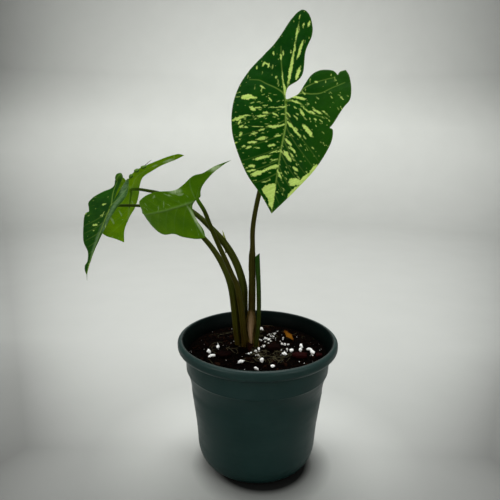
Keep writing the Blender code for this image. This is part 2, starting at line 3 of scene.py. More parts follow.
import json
from math import cos, pi, radians, sin

import bmesh
import bpy
import numpy as np
from mathutils import Euler, Matrix, Vector, geometry, noise


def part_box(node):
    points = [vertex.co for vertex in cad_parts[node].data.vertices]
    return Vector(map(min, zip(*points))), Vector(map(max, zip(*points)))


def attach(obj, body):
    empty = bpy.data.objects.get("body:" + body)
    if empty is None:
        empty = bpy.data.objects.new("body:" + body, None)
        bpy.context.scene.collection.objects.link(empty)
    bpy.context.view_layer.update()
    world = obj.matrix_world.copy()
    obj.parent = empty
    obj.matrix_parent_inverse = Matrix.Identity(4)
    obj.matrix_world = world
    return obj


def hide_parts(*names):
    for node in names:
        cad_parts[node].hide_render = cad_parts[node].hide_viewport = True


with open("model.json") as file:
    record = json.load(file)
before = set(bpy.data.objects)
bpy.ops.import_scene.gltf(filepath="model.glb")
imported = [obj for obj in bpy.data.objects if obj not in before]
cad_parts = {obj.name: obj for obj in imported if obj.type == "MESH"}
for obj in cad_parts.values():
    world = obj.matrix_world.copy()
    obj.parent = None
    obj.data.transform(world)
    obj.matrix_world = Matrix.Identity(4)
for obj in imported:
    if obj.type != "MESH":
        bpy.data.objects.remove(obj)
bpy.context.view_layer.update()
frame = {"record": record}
MM = 0.001
BODY = "root"


# ---- small helpers ---------------------------------------------------------------------
def link(name, data):
    made = bpy.data.objects.new(name, data)
    bpy.context.scene.collection.objects.link(made)
    return made


def add_mesh(name, points, faces, materials, face_slots=None, smooth=True):
    mesh = bpy.data.meshes.new(name)
    mesh.from_pydata([tuple(p) for p in points], [], [tuple(int(i) for i in f) for f in faces])
    for look in materials:
        mesh.materials.append(look)
    if face_slots is not None:
        mesh.polygons.foreach_set("material_index", np.asarray(face_slots, np.int32))
    if smooth:
        mesh.shade_smooth()
    return link(name, mesh)


def face_outward(thing):
    shape = bmesh.new()
    shape.from_mesh(thing.data)
    bmesh.ops.recalc_face_normals(shape, faces=shape.faces)
    shape.to_mesh(thing.data)
    shape.free()


def tube_faces(rings, ring, start=0):
    """Faces of a closed tube of rings, each of so many points, from the index start on."""
    faces = []
    for k in range(rings - 1):
        base = start + k * ring
        for i in range(ring):
            j = (i + 1) % ring
            faces.append((base + i, base + j, base + ring + j, base + ring + i))
    faces.append(tuple(start + i for i in range(ring))[::-1])
    faces.append(tuple(start + (rings - 1) * ring + i for i in range(ring)))
    return faces


def turned_over(face):
    """The same face seen from its other side, from the same first point."""
    return (face[0], *face[:0:-1])


def close_sheet(name, points, rows, columns, look):
    """Two layers of rows by columns points made one closed thin sheet."""
    size = rows * columns
    faces = []
    for r in range(rows - 1):
        for c in range(columns - 1):
            i = r * columns + c
            faces.append((i, i + 1, i + 1 + columns, i + columns))
            j = i + size
            faces.append((j + columns, j + 1 + columns, j + 1, j))
    loop = list(range(columns)) + [r * columns + columns - 1 for r in range(1, rows)]
    loop += [(rows - 1) * columns + c for c in range(columns - 2, -1, -1)]
    loop += [r * columns for r in range(rows - 2, 0, -1)]
    for i, j in zip(loop, loop[1:] + loop[:1]):
        faces.append((j, i, i + size, j + size))
    thing = add_mesh(name, points, faces, [look])
    face_outward(thing)
    return thing


def attribute(thing, name, values):
    """Store one number, or one vector, per vertex."""
    values = np.asarray(values, np.float32)
    kind = "FLOAT" if values.ndim == 1 else "FLOAT_VECTOR"
    made = thing.data.attributes.new(name, kind, "POINT")
    made.data.foreach_set("value" if values.ndim == 1 else "vector", values.ravel())


def place(piece, slot, *nodes):
    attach(piece, BODY)
    if nodes:
        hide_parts(*nodes)
    return piece


def fractal(points, scale, octaves=4, seed=0):
    """Fractal noise, about -1 to 1, at points in metres; scale is the largest feature in mm."""
    shift = Vector((seed * 17.3, seed * 5.1, seed * 9.7))
    step = 1 / (scale * MM)
    return np.array([noise.fractal(Vector(p) * step + shift, 1.0, 2.1, octaves) for p in points])


def smoothstep(low, high, values):
    t = np.clip((values - low) / (high - low), 0, 1)
    return t * t * (3 - 2 * t)


def node_centre(name):
    low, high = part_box(name)
    return (low + high) / 2, high - low


# ---- material helpers ------------------------------------------------------------------
class Nodes:
    """Adds nodes to one node tree. Sizes and depths are in mm."""

    def __init__(self, tree):
        self.tree = tree

    def add(self, kind, inputs=None, **settings):
        made = self.tree.nodes.new(kind)
        for key, value in settings.items():
            setattr(made, key, value)
        for key, value in (inputs or {}).items():
            if isinstance(value, bpy.types.NodeSocket):
                self.tree.links.new(value, made.inputs[key])
            else:
                made.inputs[key].default_value = value
        return made

    def axes(self, output):
        """The x, y and z of a texture coordinate."""
        source = self.add("ShaderNodeTexCoord").outputs[output]
        parts = self.add("ShaderNodeSeparateXYZ", {0: source})
        return [parts.outputs[k] for k in range(3)]

    def coords(self, stretch=(1, 1, 1)):
        source = self.add("ShaderNodeTexCoord").outputs["Object"]
        return self.add("ShaderNodeMapping", {"Vector": source, "Scale": stretch}).outputs[0]

    def stored(self, name, stretch=(1, 1, 1), turn=0.0):
        """A stored vector as coordinates, turned and then stretched."""
        vector = self.add("ShaderNodeAttribute", attribute_name=name).outputs["Vector"]
        for change in ({"Rotation": (0, 0, radians(turn))}, {"Scale": stretch}):
            vector = self.add("ShaderNodeMapping", {"Vector": vector, **change}).outputs[0]
        return vector

    def value(self, name):
        return self.add("ShaderNodeAttribute", attribute_name=name).outputs["Fac"]

    def noise(self, coords, size, detail=4.0, roughness=0.55):
        """A noise texture whose features are about size mm across."""
        scale = 1 / (size * MM)
        inputs = {"Vector": coords, "Scale": scale, "Detail": detail, "Roughness": roughness}
        return self.add("ShaderNodeTexNoise", inputs).outputs["Fac"]

    def cells(self, coords, size):
        inputs = {"Vector": coords, "Scale": 1 / (size * MM)}
        return self.add("ShaderNodeTexVoronoi", inputs).outputs["Distance"]

    def span(self, value, low, high, new_low=0.0, new_high=1.0):
        inputs = {"Value": value, "From Min": low, "From Max": high}
        inputs.update({"To Min": new_low, "To Max": new_high})
        return self.add("ShaderNodeMapRange", inputs).outputs["Result"]

    def calc(self, operation, a, b=0.0):
        return self.add("ShaderNodeMath", {0: a, 1: b}, operation=operation).outputs[0]

    def times(self, a, b):
        return self.calc("MULTIPLY", a, b)

    def plus(self, a, b):
        return self.calc("ADD", a, b)

    def minus(self, a, b):
        return self.calc("SUBTRACT", a, b)

    def length(self, a, b):
        return self.calc("SQRT", self.plus(self.times(a, a), self.times(b, b)))

    def layered(self, colour, *layers):
        """A colour with others laid over it in turn, each by its share."""
        for share, over in layers:
            a, b = [
                c if isinstance(c, bpy.types.NodeSocket) else (*c, 1.0) for c in (colour, over)
            ]
            inputs = {0: share, 6: a, 7: b}
            colour = self.add("ShaderNodeMix", inputs, data_type="RGBA").outputs[2]
        return colour

    def bumps(self, *heights):
        """Bumps laid over one another, each a height and its full range in mm."""
        normal = None
        for height, depth in heights:
            inputs = {"Height": height, "Distance": depth * MM, "Strength": 1.0}
            if normal is not None:
                inputs["Normal"] = normal
            normal = self.add("ShaderNodeBump", inputs).outputs["Normal"]
        return normal


def new_material(name, specular, roughness=0.5):
    made = bpy.data.materials.new(name)
    made.use_nodes = True
    shader = made.node_tree.nodes["Principled BSDF"]
    shader.inputs["Roughness"].default_value = roughness
    shader.inputs["Specular IOR Level"].default_value = specular
    return made, Nodes(made.node_tree)


def wired(made, **sources):
    """The material with inputs of its shader linked, such as Base_Color."""
    tree = made.node_tree
    for name, source in sources.items():
        tree.links.new(source, tree.nodes["Principled BSDF"].inputs[name.replace("_", " ")])
    return made


# ---- materials -------------------------------------------------------------------------
STREAKS = ((0.35, 1.6, 1), -25)  # stretch and turn of the fine streaks on a blade
WHITISH = (0.42, 0.55, 0.29)


def pot_material(name, specular):
    """Dark green moulded plastic: a soft grain, faint flow lines, scuffs, a film of dust, and
    painted shade on the inside wall.
    """
    made, n = new_material(name, specular)
    coords = n.coords()
    broad = n.noise(coords, 38, 3)
    flow = n.noise(n.coords((1, 1, 5)), 24, 4)
    grain = n.noise(coords, 0.5, 2)
    scratches = n.noise(n.coords((0.25, 0.25, 4)), 2.2, 3)
    dust = n.span(n.noise(coords, 9, 6, 0.65), 0.52, 0.8)
    colour = n.layered(
        (0.0028, 0.0175, 0.0155),
        (n.span(broad, 0.3, 0.7), (0.0055, 0.0225, 0.0205)),
        (n.span(flow, 0.45, 0.75, 0, 0.35), (0.011, 0.031, 0.029)),
        (n.times(dust, 0.05), (0.11, 0.13, 0.12)),
        # painted shade: the pot's inside wall darkened to near black
        (n.value("painted_inner_shade"), (0.0006, 0.0016, 0.0012)),
    )
    rough = n.plus(n.span(flow, 0.3, 0.7, 0.36, 0.48), n.times(dust, 0.14))
    normal = n.bumps((grain, 0.018), (n.span(scratches, 0.62, 0.72), 0.006), (broad, 0.25))
    return wired(made, Base_Color=colour, Roughness=rough, Normal=normal)


def leaf_upper(name, dark, mid, olive, pale):
    """Upper face: deep green with paler veins, cream-green variegation where marked, and streaks of
    painted sheen.
    """
    made, n = new_material(name, 0.035)
    flat = n.stored("flat")
    broad = n.noise(flat, 14, 3)
    fine = n.noise(flat, 1.1, 4, 0.6)
    streaked = n.noise(n.stored("flat", *STREAKS), 1.8, 4, 0.6)
    green = n.layered(
        dark,
        (n.span(broad, 0.35, 0.7), mid),
        (n.times(n.value("side"), 0.35), olive),
        (n.span(fine, 0.35, 0.75, 0, 0.35), mid),
        (n.span(streaked, 0.58, 0.72, 0, 0.4), olive),
        (n.times(n.value("vein"), 0.6), pale[1]),
        # painted sheen: greyish streaks where the blade catches grazing light
        (n.times(n.value("painted_sheen"), n.span(streaked, 0.35, 0.65, 0.3, 0.95)), (0.11, 0.19, 0.085)),
    )
    cream = n.layered(
        pale[0], (n.span(streaked, 0.35, 0.7), pale[1]), (n.span(fine, 0.55, 0.8, 0, 0.5), pale[2]),
    )
    colour = n.layered(green, (n.value("pale"), cream), (n.times(n.value("edge"), 0.12), pale[1]))
    rough = n.span(fine, 0.3, 0.7, 0.40, 0.54)
    normal = n.bumps((n.cells(flat, 0.42), 0.02), (streaked, 0.05), (broad, 0.35))
    return wired(made, Base_Color=colour, Roughness=rough, Normal=normal)


def leaf_lower(name, deep, light, yellow):
    """Underside: fresh light green, paler at the veins, with flecks where the blade is marked, and
    streaks of painted sheen.
    """
    made, n = new_material(name, 0.045)
    flat = n.stored("flat")
    broad = n.noise(flat, 12, 3)
    fine = n.noise(flat, 1.0, 4, 0.6)
    streaked = n.noise(n.stored("flat", *STREAKS), 2.4, 4, 0.6)
    colour = n.layered(
        light,
        (n.span(broad, 0.3, 0.7), yellow),
        (n.value("side"), deep),
        (n.span(fine, 0.4, 0.75, 0, 0.3), deep),
        (n.span(streaked, 0.58, 0.78, 0, 0.35), yellow),
        (n.times(n.value("vein"), 0.15), WHITISH),
        (n.times(n.value("pale"), 0.36), WHITISH),
        # painted sheen: whitish streaks where the blade catches grazing light
        (n.times(n.value("painted_sheen"), n.span(streaked, 0.3, 0.6, 0.35, 0.9)), WHITISH),
    )
    rough = n.span(fine, 0.3, 0.7, 0.42, 0.55)
    normal = n.bumps((n.cells(flat, 0.38), 0.025), (streaked, 0.08), (broad, 0.4))
    return wired(made, Base_Color=colour, Roughness=rough, Normal=normal)


def stem_material(name, base, lower, upper, stripe):
    """A petiole's skin: long fine stripes and a change of colour from foot to blade."""
    made, n = new_material(name, 0.04)
    along = n.value("along")
    stripes = n.noise(n.stored("stem", (1, 1, 0.05)), 0.5, 4, 0.65)
    blotch = n.noise(n.stored("stem", (1, 1, 0.35)), 3.0, 4, 0.6)
    colour = n.layered(
        base,
        (n.span(along, 0.02, 0.30), lower),
        (n.span(along, 0.45, 0.98), upper),
        (n.span(stripes, 0.48, 0.72, 0, 0.75), stripe),
        (n.span(blotch, 0.5, 0.75, 0, 0.55), base),
        (n.value("fresh"), (0.060, 0.150, 0.004)),
        (n.value("pale"), (0.42, 0.46, 0.12)),
    )
    rough = n.span(blotch, 0.3, 0.7, 0.38, 0.56)
    normal = n.bumps((stripes, 0.08), (n.noise(n.coords(), 0.35, 2), 0.02))
    return wired(made, Base_Color=colour, Roughness=rough, Normal=normal)


def grainy_material(name, colours, size, roughness, depth, stretch=(1, 1, 1), specular=0.3):
    """A rough natural solid: three mixed colours, fine grain and a coarse relief."""
    made, n = new_material(name, specular)
    coords = n.coords(stretch)
    coarse = n.noise(coords, size, 5, 0.65)
    fine = n.noise(coords, size * 0.2, 4, 0.7)
    colour = n.layered(
        colours[0],
        (n.span(coarse, 0.38, 0.66), colours[1]),
        (n.span(fine, 0.55, 0.8, 0, 0.8), colours[2]),
        # the stored tone; on the perlite grains and the dry sheath it is painted shade
        (n.value("tone"), colours[2]),
    )
    rough = n.span(fine, 0.3, 0.7, roughness - 0.12, roughness + 0.05)
    normal = n.bumps((fine, depth * 0.35), (coarse, depth))
    return wired(made, Base_Color=colour, Roughness=rough, Normal=normal)


POT_LOOK = pot_material("pot_plastic_detailed", 0.2)
POT_INSIDE = pot_material("pot_plastic_painted_shade_inside", 0.04)
PALE = ((0.52, 0.66, 0.165), (0.33, 0.50, 0.085), (0.66, 0.80, 0.34))
UPPER_TALL = leaf_upper(
    "leaf_upper_tall", (0.0006, 0.0290, 0.0001), (0.0040, 0.0480, 0.0006), (0.022, 0.080, 0.003),
    PALE,
)
UPPER_SMALL = leaf_upper(
    "leaf_upper_small", (0.0018, 0.0300, 0.0006), (0.012, 0.065, 0.002), (0.070, 0.150, 0.006),
    PALE,
)
LOWER_MIDDLE = leaf_lower(
    "leaf_lower_middle", (0.027, 0.092, 0.0002), (0.048, 0.138, 0.0004), (0.084, 0.190, 0.001),
)
LOWER_UPPER = leaf_lower(
    "leaf_lower_upper", (0.010, 0.062, 0.0006), (0.100, 0.250, 0.0015), (0.190, 0.350, 0.002),
)
LOWER_PLAIN = leaf_lower(
    "leaf_lower_plain", (0.024, 0.080, 0.004), (0.045, 0.115, 0.006), (0.065, 0.145, 0.008),
)
STEM_OLIVE = stem_material(
    "petiole_skin_olive",
    (0.026, 0.011, 0.002), (0.030, 0.026, 0.003), (0.022, 0.046, 0.001), (0.046, 0.046, 0.004),
)
STEM_GREEN = stem_material(
    "petiole_skin_green",
    (0.030, 0.016, 0.002), (0.030, 0.036, 0.003), (0.022, 0.052, 0.001), (0.048, 0.060, 0.005),
)
CUT_LOOK = stem_material(
    "cut_stem_skin",
    (0.022, 0.014, 0.002), (0.018, 0.024, 0.002), (0.010, 0.044, 0.003), (0.032, 0.060, 0.008),
)
SHEATH_LOOK = grainy_material(
    "sheath_skin_dry", ((0.25, 0.145, 0.070), (0.40, 0.27, 0.16), (0.055, 0.034, 0.007)),
    1.8, 0.62, 0.12, (3, 3, 0.2), specular=0.1,
)
OLIVE_SHEATH_LOOK = grainy_material(
    "sheath_skin_olive", ((0.045, 0.026, 0.004), (0.090, 0.062, 0.010), (0.014, 0.008, 0.001)),
    1.8, 0.66, 0.12, (3, 3, 0.3), specular=0.06,
)
STRIP_LOOK = grainy_material(
    "sheath_skin_dark",
    ((0.0060, 0.0014, 0.0008), (0.0140, 0.0035, 0.0015), (0.0030, 0.0008, 0.0005)),
    1.6, 0.8, 0.12, (3, 3, 0.3), specular=0.03,
)
MIX_LOOK = grainy_material(
    "potting_mix_peat",
    ((0.0006, 0.0004, 0.0003), (0.0016, 0.0009, 0.0006), (0.0060, 0.0028, 0.0016)),
    2.5, 0.95, 0.6, specular=0.01,
)
CRUMB_LOOK = grainy_material(
    "potting_mix_crumb",
    ((0.0006, 0.0004, 0.0003), (0.0022, 0.0011, 0.0007), (0.0140, 0.0055, 0.0030)),
    1.1, 0.92, 0.25, specular=0.01,
)
FIBRE_LOOK = grainy_material(
    "potting_mix_fibre", ((0.011, 0.009, 0.003), (0.030, 0.027, 0.009), (0.090, 0.080, 0.045)),
    1.2, 0.8, 0.05, specular=0.04,
)
PERLITE_LOOK = grainy_material(
    "perlite_expanded", ((0.94, 0.94, 0.93), (0.86, 0.86, 0.84), (0.36, 0.32, 0.28)), 1.2, 0.9, 0.3,
)
BARK_LOOK = grainy_material(
    "bark_red", ((0.014, 0.0012, 0.0014), (0.007, 0.0010, 0.0010), (0.034, 0.006, 0.004)),
    1.6, 0.8, 0.3, (0.4, 2, 2), specular=0.02,
)
BARK_DARK_LOOK = grainy_material(
    "bark_dark", ((0.0045, 0.0012, 0.0010), (0.0022, 0.0007, 0.0007), (0.014, 0.004, 0.003)),
    1.4, 0.85, 0.3, (0.5, 2, 2), specular=0.01,
)
FLAKE_LOOK = grainy_material(
    "dry_flake_orange", ((0.170, 0.066, 0.001), (0.105, 0.036, 0.001), (0.035, 0.009, 0.001)),
    1.5, 0.7, 0.12, specular=0.03,
)


# ---- lines -----------------------------------------------------------------------------
def catmull_rom(points, closed, corners=(), per_span=8):
    """A smooth line through points, straight through to the ones listed as corners."""
    given = np.array(points, float)
    count = len(given)
    line = []
    for i in range(count if closed else count - 1):
        p1, p2 = given[i], given[(i + 1) % count]
        p0 = given[i - 1] if closed or i > 0 else p1
        p3 = given[(i + 2) % count] if closed or i + 2 < count else p2
        start = (p2 - p1) if i in corners else (p2 - p0) / 2
        end = (p2 - p1) if (i + 1) % count in corners else (p3 - p1) / 2
        for t in np.linspace(0, 1, per_span, endpoint=False):
            line.append(
                (2 * t**3 - 3 * t**2 + 1) * p1
                + (t**3 - 2 * t**2 + t) * start
                + (3 * t**2 - 2 * t**3) * p2
                + (t**3 - t**2) * end
            )
    if not closed:
        line.append(given[-1])
    return np.array(line)


def evenly_spaced(line, spacing):
    steps = np.linalg.norm(np.diff(line, axis=0), axis=1)
    along = np.concatenate([[0.0], np.cumsum(steps)])
    wanted = np.linspace(0, along[-1], max(2, int(round(along[-1] / spacing)) + 1))
    return np.stack([np.interp(wanted, along, line[:, k]) for k in range(line.shape[1])], axis=1)


def nearest(points, line):
    """Distance from each flat point to a polyline, and how far along the line, 0 to 1."""
    best = np.full(len(points), 1e9)
    where = np.zeros(len(points))
    count = len(line) - 1
    for i in range(count):
        a, d = line[i], line[i + 1] - line[i]
        t = np.clip(((points - a) @ d) / max(d @ d, 1e-12), 0, 1)
        away = np.linalg.norm(points - a - t[:, None] * d, axis=1)
        closer = away < best
        best[closer] = away[closer]
        where[closer] = (i + t[closer]) / count
    return best, where


# ---- blades ----------------------------------------------------------------------------
# The same leaves as the frame's: outlines in mm in each blade's own plane, y from the junction
# towards the tip. heading, dip and roll aim the midrib; back, droop and hook bend it, in degrees
# per 10 mm; fold raises each half and curl lets it fall again, +x half first.
SOIL_TOP = 81.0  # mm, the edge of the potting mix
BLADES = {
    "tall_leaf_blade": dict(
        junction=(15.5, 6, 167.5), heading=-102, dip=-66, roll=0,
        back=-0.6, droop=1.7, hook=0, hook_from=60, fold=(7, 7), curl=(2.3, 2.3),
        midrib=((0, 0), (16, -1.5), (35, 0.5), (54, 2), (73, 3.5)),
        corners=(16, 21, 27, 29), fade=(-40 * MM, 8 * MM),
        outline=(
            (0, -1.5), (-0.5, -9), (-7, -14), (-9.5, -20), (-9.8, -34), (-13, -45), (-12.5, -53),
            (-9.5, -60.5), (-4.5, -63), (1.5, -56.5), (10, -41.5), (27, -20), (33.5, -1),
            (32.5, 22), (22, 46.5), (11, 61), (3.5, 72.5), (-9, 59.5), (-22, 44.5), (-30, 29.5),
            (-31.2, 20.5), (-29, 18.5), (-31.2, 15.5), (-36.5, 5.5), (-40, 0), (-40.2, -8.5),
            (-38.4, -17), (-36, -21.3), (-32.6, -20), (-31.2, -17.6), (-28.6, -20.2), (-24, -21),
            (-19, -20.2), (-14.6, -17), (-11.5, -11.5), (-8.2, -5), (-4.5, -2.5),
        ),
    ),
    "middle_leaf_blade": dict(
        junction=(-38, -25, 107.5), heading=158, dip=-18, roll=68,
        back=2.3, droop=-4, hook=-40, hook_from=40, hook_to=43.5, fold=(12, 4), curl=(5, 2.3),
        midrib=((0, 0), (60, 2)),
        corners=(7, 16, 22),
        outline=(
            (-0.5, 0), (-1.5, -3.5), (-5, -5.5), (-8.5, -9.5), (-13, -18), (-15.5, -25), (-17, -30),
            (-17.8, -34), (-17.6, -28), (-17, -21.5), (-15.2, -13), (-15, -5), (-11.6, 4),
            (-10, 12), (-12, 28), (-8, 44), (3, 60), (13, 50), (19.5, 42), (20, 32), (23, 26),
            (26.5, 16), (27, 9), (21, 7.5), (14.5, 8), (7.5, 7), (2.5, 4.5),
        ),
    ),
    "upper_leaf_blade": dict(
        junction=(-93.5, 38, 107.5), heading=132, dip=-72, roll=0,
        back=-1.1, droop=2.3, hook=0, hook_from=40, fold=(20, 22), curl=(3.4, 3.4),
        midrib=((0, 0), (46, -1)),
        corners=(6, 15),
        outline=(
            (0, -2), (-3.5, -5), (0, -11.5), (6, -15.5), (20, -21.5), (33, -26), (39, -25.5),
            (33, -22), (21, -16.5), (10, -8.5), (8.6, -1), (9, 7), (6.5, 16), (0.5, 24), (-2.5, 33),
            (-2.5, 43), (-9.5, 39.8), (-16, 37.5), (-20.5, 32), (-20.5, 18), (-16, 5), (-10, -4),
            (-7, -8), (-4.8, -6.4),
        ),
    ),
    "lower_leaf_blade": dict(
        junction=(-101, 13, 98.6), heading=-153, dip=-64, roll=-22,
        back=-1.1, droop=1.7, hook=12, hook_from=46, fold=(20, 20), curl=(2.3, 0),
        midrib=((0, 0), (60, 0)),
        corners=(12, 21),
        outline=(
            (-0.5, -4), (0, -13), (0.2, -18), (1.6, -21.6), (4.8, -22.6), (7.6, -20.6),
            (7.6, -16.6), (6, -12), (12.5, -5.5), (17.5, 2), (18.5, 5.5), (16.8, 8), (15.3, 10.5),
            (17.5, 13.5), (15.5, 20.5), (11, 30.5), (4.5, 36), (2.4, 42), (3.3, 46), (1.8, 49.5),
            (-0.8, 52), (-3.2, 54.6), (-0.9, 50.5), (-0.2, 46), (-0.6, 42), (-1, 34), (-4.6, 23),
            (-10, 9), (-14.6, -3), (-11.5, -13), (-6, -21), (-3.5, -15),
        ),
    ),
}

# Main side veins leave the midrib at (start, end, step) mm from the junction, at an angle ahead of
# straight out for the +x and the -x half, and run to the margin. basal veins run into the lobes.
VEINS = {
    "tall_leaf_blade": dict(
        laterals=(4, 60, 8.6), lead=(12, 44),
        basal=(
            ((0, 0), (1, -5.5), (3, -12.5), (4, -19), (5.5, -28), (6.5, -38)), ((0, -1),
            (-0.5, -11.5), (-1.5, -21), (-2, -31), (-3, -42), (-4, -55)), ((0, 0), (2, -5),
            (7, -8.5), (13.5, -11.5), (18.5, -14), (25, -14.5)), ((0, 0), (-8, -5), (-12.5, -9),
            (-19.5, -12.5), (-29, -15.5)), ((0, 0), (-8.5, -4.5), (-16, -4), (-22, -4.5),
            (-28.5, -8), (-36, -12)), ((0, 0), (-8.5, 1.5), (-16, 8.5), (-25, 12)),
        ),
    ),
    "middle_leaf_blade": dict(
        laterals=(6, 52, 8), lead=(30, 30),
        basal=(
            ((0, 0), (-5, -4), (-10, -12), (-14, -20), (-17, -30)), ((0, 0), (7, 5), (15, 10),
            (25, 13)), ((0, 0), (-7, 0), (-13, -2), (-16, -6)),
        ),
    ),
    "upper_leaf_blade": dict(
        laterals=(5, 40, 7), lead=(35, 35),
        basal=(
            ((0, 0), (3, -8), (12, -15), (22, -19.5), (36, -25)), ((0, 0), (-6, -4), (-9, -12)),
            ((0, 0), (-8, 0), (-14, -2)),
        ),
    ),
    "lower_leaf_blade": dict(
        laterals=(5, 44, 7), lead=(35, 35),
        basal=(
            ((0, 0), (3, -8), (4, -15), (3, -21)), ((0, 0), (-6, -5), (-9, -14), (-9, -21)),
        ),
    ),
}

# Cream patches of the variegation, each an oval: x, y, half length, half width in mm, and the
# turn of its length from straight across, in degrees.
OVALS = {
    "tall_leaf_blade": (
        (-1.3, -22, 10.5, 1.3, 86), (-2.3, -36, 5, 0.4, 86), (-3.2, -47, 5, 0.8, 85),
        (-6.2, -35, 6.5, 1.1, 78), (-6.3, -18.5, 5, 1.3, 78), (-7, -52.5, 1.2, 0.6, 80),
        (-10.5, -53, 1.8, 0.9, 75), (-4, -58, 1.2, 0.5, 80), (1.5, -8, 5, 0.9, 105),
        (3.5, -16, 4, 0.35, 98), (5.8, -30, 2.2, 0.7, 98), (21, -23, 1.2, 0.7, 100),
        (17, -25.2, 1.6, 0.6, 60), (14.8, -25.8, 1.3, 0.8, 150), (13.3, -24.2, 1.4, 0.7, 80),
        (11, -33, 1.4, 0.5, 95), (25, -2, 3.6, 2.6, 5), (21, -1.4, 2.6, 1.1, 0),
        (16, -9, 1.7, 0.7, 150), (10, -0.5, 1.8, 0.6, 130), (2, 4.3, 2.6, 0.5, 8),
        (7, 5, 2.6, 0.35, 5), (17, 5.4, 2, 0.5, 0), (20.8, 6.2, 2.2, 1.5, 140),
        (12, 8.5, 1.6, 0.6, 5), (14, 11, 2.8, 0.9, 8), (6, 9.6, 2.3, 0.6, 150),
        (29.5, 13, 4, 1.3, 20), (25, 11, 3.4, 0.6, 5), (28.2, 15.2, 1.6, 0.9, 70),
        (1.2, 16.4, 2.4, 0.7, 20), (6, 17.5, 4.2, 0.9, 5), (16, 18, 4.5, 0.25, 0),
        (27, 18, 1.4, 0.8, 10), (23.5, 18.6, 1, 0.6, 0), (13.5, 20, 1.7, 0.7, 10),
        (18.5, 23, 1, 0.4, 0), (27, 23.5, 1.4, 1, 60), (12.6, 25.6, 3, 1.2, 12),
        (3, 23.4, 2, 0.6, 15), (19.2, 28.3, 2.9, 0.8, 5), (24, 31, 1.3, 0.6, 20),
        (20.5, 31.5, 1.6, 0.6, 10), (6.3, 29.8, 2.4, 0.9, 12), (5, 34, 3, 0.4, 25),
        (12, 38, 5.4, 1.2, 16), (4, 39, 2.2, 0.4, 22), (18, 43.5, 2, 1.1, 5),
        (5, 43.7, 4.4, 1.2, 20), (14.5, 48, 3.6, 2, 20), (18.2, 46.3, 2.6, 0.7, 10),
        (10.4, 46.4, 3, 1, 25), (0.2, 48, 3.2, 0.8, 120), (-8, -1.5, 5, 1.1, 165),
        (-6.5, 1.2, 3.8, 0.6, 155), (-13, 6.2, 4.5, 0.3, 140), (-11.5, 9, 3, 1, 122),
        (-17, 8.3, 2.2, 0.7, 160), (-21, 8.2, 3, 0.8, 155), (-24.5, 8, 1.2, 0.5, 150),
        (-4.5, 16.5, 3.6, 1, 135), (-8.5, 20.8, 4.6, 0.9, 132), (-15.8, 20.5, 4.8, 1.5, 130),
        (-4, 27.5, 3.2, 1, 135), (-7.5, 32.5, 2.6, 0.8, 130), (-4.2, 36.5, 4.4, 1.3, 125),
        (-10, 44.5, 2.4, 1.2, 140), (-9.8, 52.5, 3.8, 3, 0), (-18.5, -12, 1.3, 1, 0),
        (-2.5, 9.5, 2, 0.5, 135), (-7.5, 11.5, 2, 0.5, 135), (-19.5, 13, 1.2, 0.6, 140),
    ),
    "middle_leaf_blade": (
        (-1, 30, 2.2, 0.45, 40), (-3, 24, 2.6, 0.35, 35), (-9, 29, 2, 0.6, 60),
        (-8, 17, 2.8, 0.5, 120), (-6.5, 9, 3, 0.9, 100), (21, 33, 2.2, 0.5, 80),
    ),
    "upper_leaf_blade": (
        (17, -17, 2.4, 1, 160), (25.5, -20.5, 3, 1, 160), (-12, 25, 4, 0.9, 60),
        (-6, 20, 2.4, 0.6, 60), (-14, 12, 2, 0.6, 60), (3, 12, 1.8, 0.5, 60),
    ),
    "lower_leaf_blade": (
        (5.5, 1.5, 1.5, 0.7, 30), (6, 17, 1.6, 0.8, 25), (3.2, 8, 2, 0.3, 92),
    ),
}
# Larger cream areas with an outline of their own, in mm.
AREAS = {
    "tall_leaf_blade": (
        (
            (10.8, 57.6), (8.2, 55.2), (6.4, 54.4), (3.6, 53.6), (1.9, 54), (1.9, 59), (2.6, 64.5),
            (3.3, 70), (5, 67.6), (6.6, 63.2),
        ),
        (
            (-22.8, 41.2), (-20.6, 43.6), (-18.6, 46.6), (-15.6, 48.6), (-13.6, 51.6),
            (-12.4, 54.8), (-9.4, 56.6), (-7, 59.6), (-6, 62.4), (-4.6, 65.2), (-4, 69.5),
            (-14, 62), (-27, 45),
        ),
    ),
}
FLECKS = {
    "tall_leaf_blade": 420, "middle_leaf_blade": 20, "upper_leaf_blade": 18, "lower_leaf_blade": 26,
}
BLADE_LOOKS = {
    "tall_leaf_blade": (UPPER_TALL, LOWER_PLAIN),
    "middle_leaf_blade": (UPPER_SMALL, LOWER_MIDDLE),
    "upper_leaf_blade": (UPPER_SMALL, LOWER_UPPER),
    "lower_leaf_blade": (UPPER_SMALL, LOWER_PLAIN),
}
CELL = 0.46 * MM  # spacing of a blade's points
ROW_GAP = 0.866  # of CELL, between two staggered rows of points
FOLD_FADE = (-15 * MM, 1 * MM)  # where the fold sets in, measured from the junction
THICKNESS = 0.42 * MM
PATCH_WIDTH = 0.78  # how wide the cream patches are, as a share of the widths listed
MIDRIB_RISE = 0.75 * MM  # how far the midrib stands out underneath
VEIN_RISE = 0.18 * MM
PUCKER = 0.16 * MM  # how far the blade swells between two side veins
# Width of a vein in mm, its rise underneath and how strongly its colour shows.
VEIN_KINDS = {
    "midrib": (0.75, MIDRIB_RISE, 1.0),
    "lateral": (0.42, VEIN_RISE, 0.32),
    "basal": (0.5, 1.6 * VEIN_RISE, 0.75),
}


def per_metre(degrees_per_10mm):
    return radians(degrees_per_10mm) / (10 * MM)


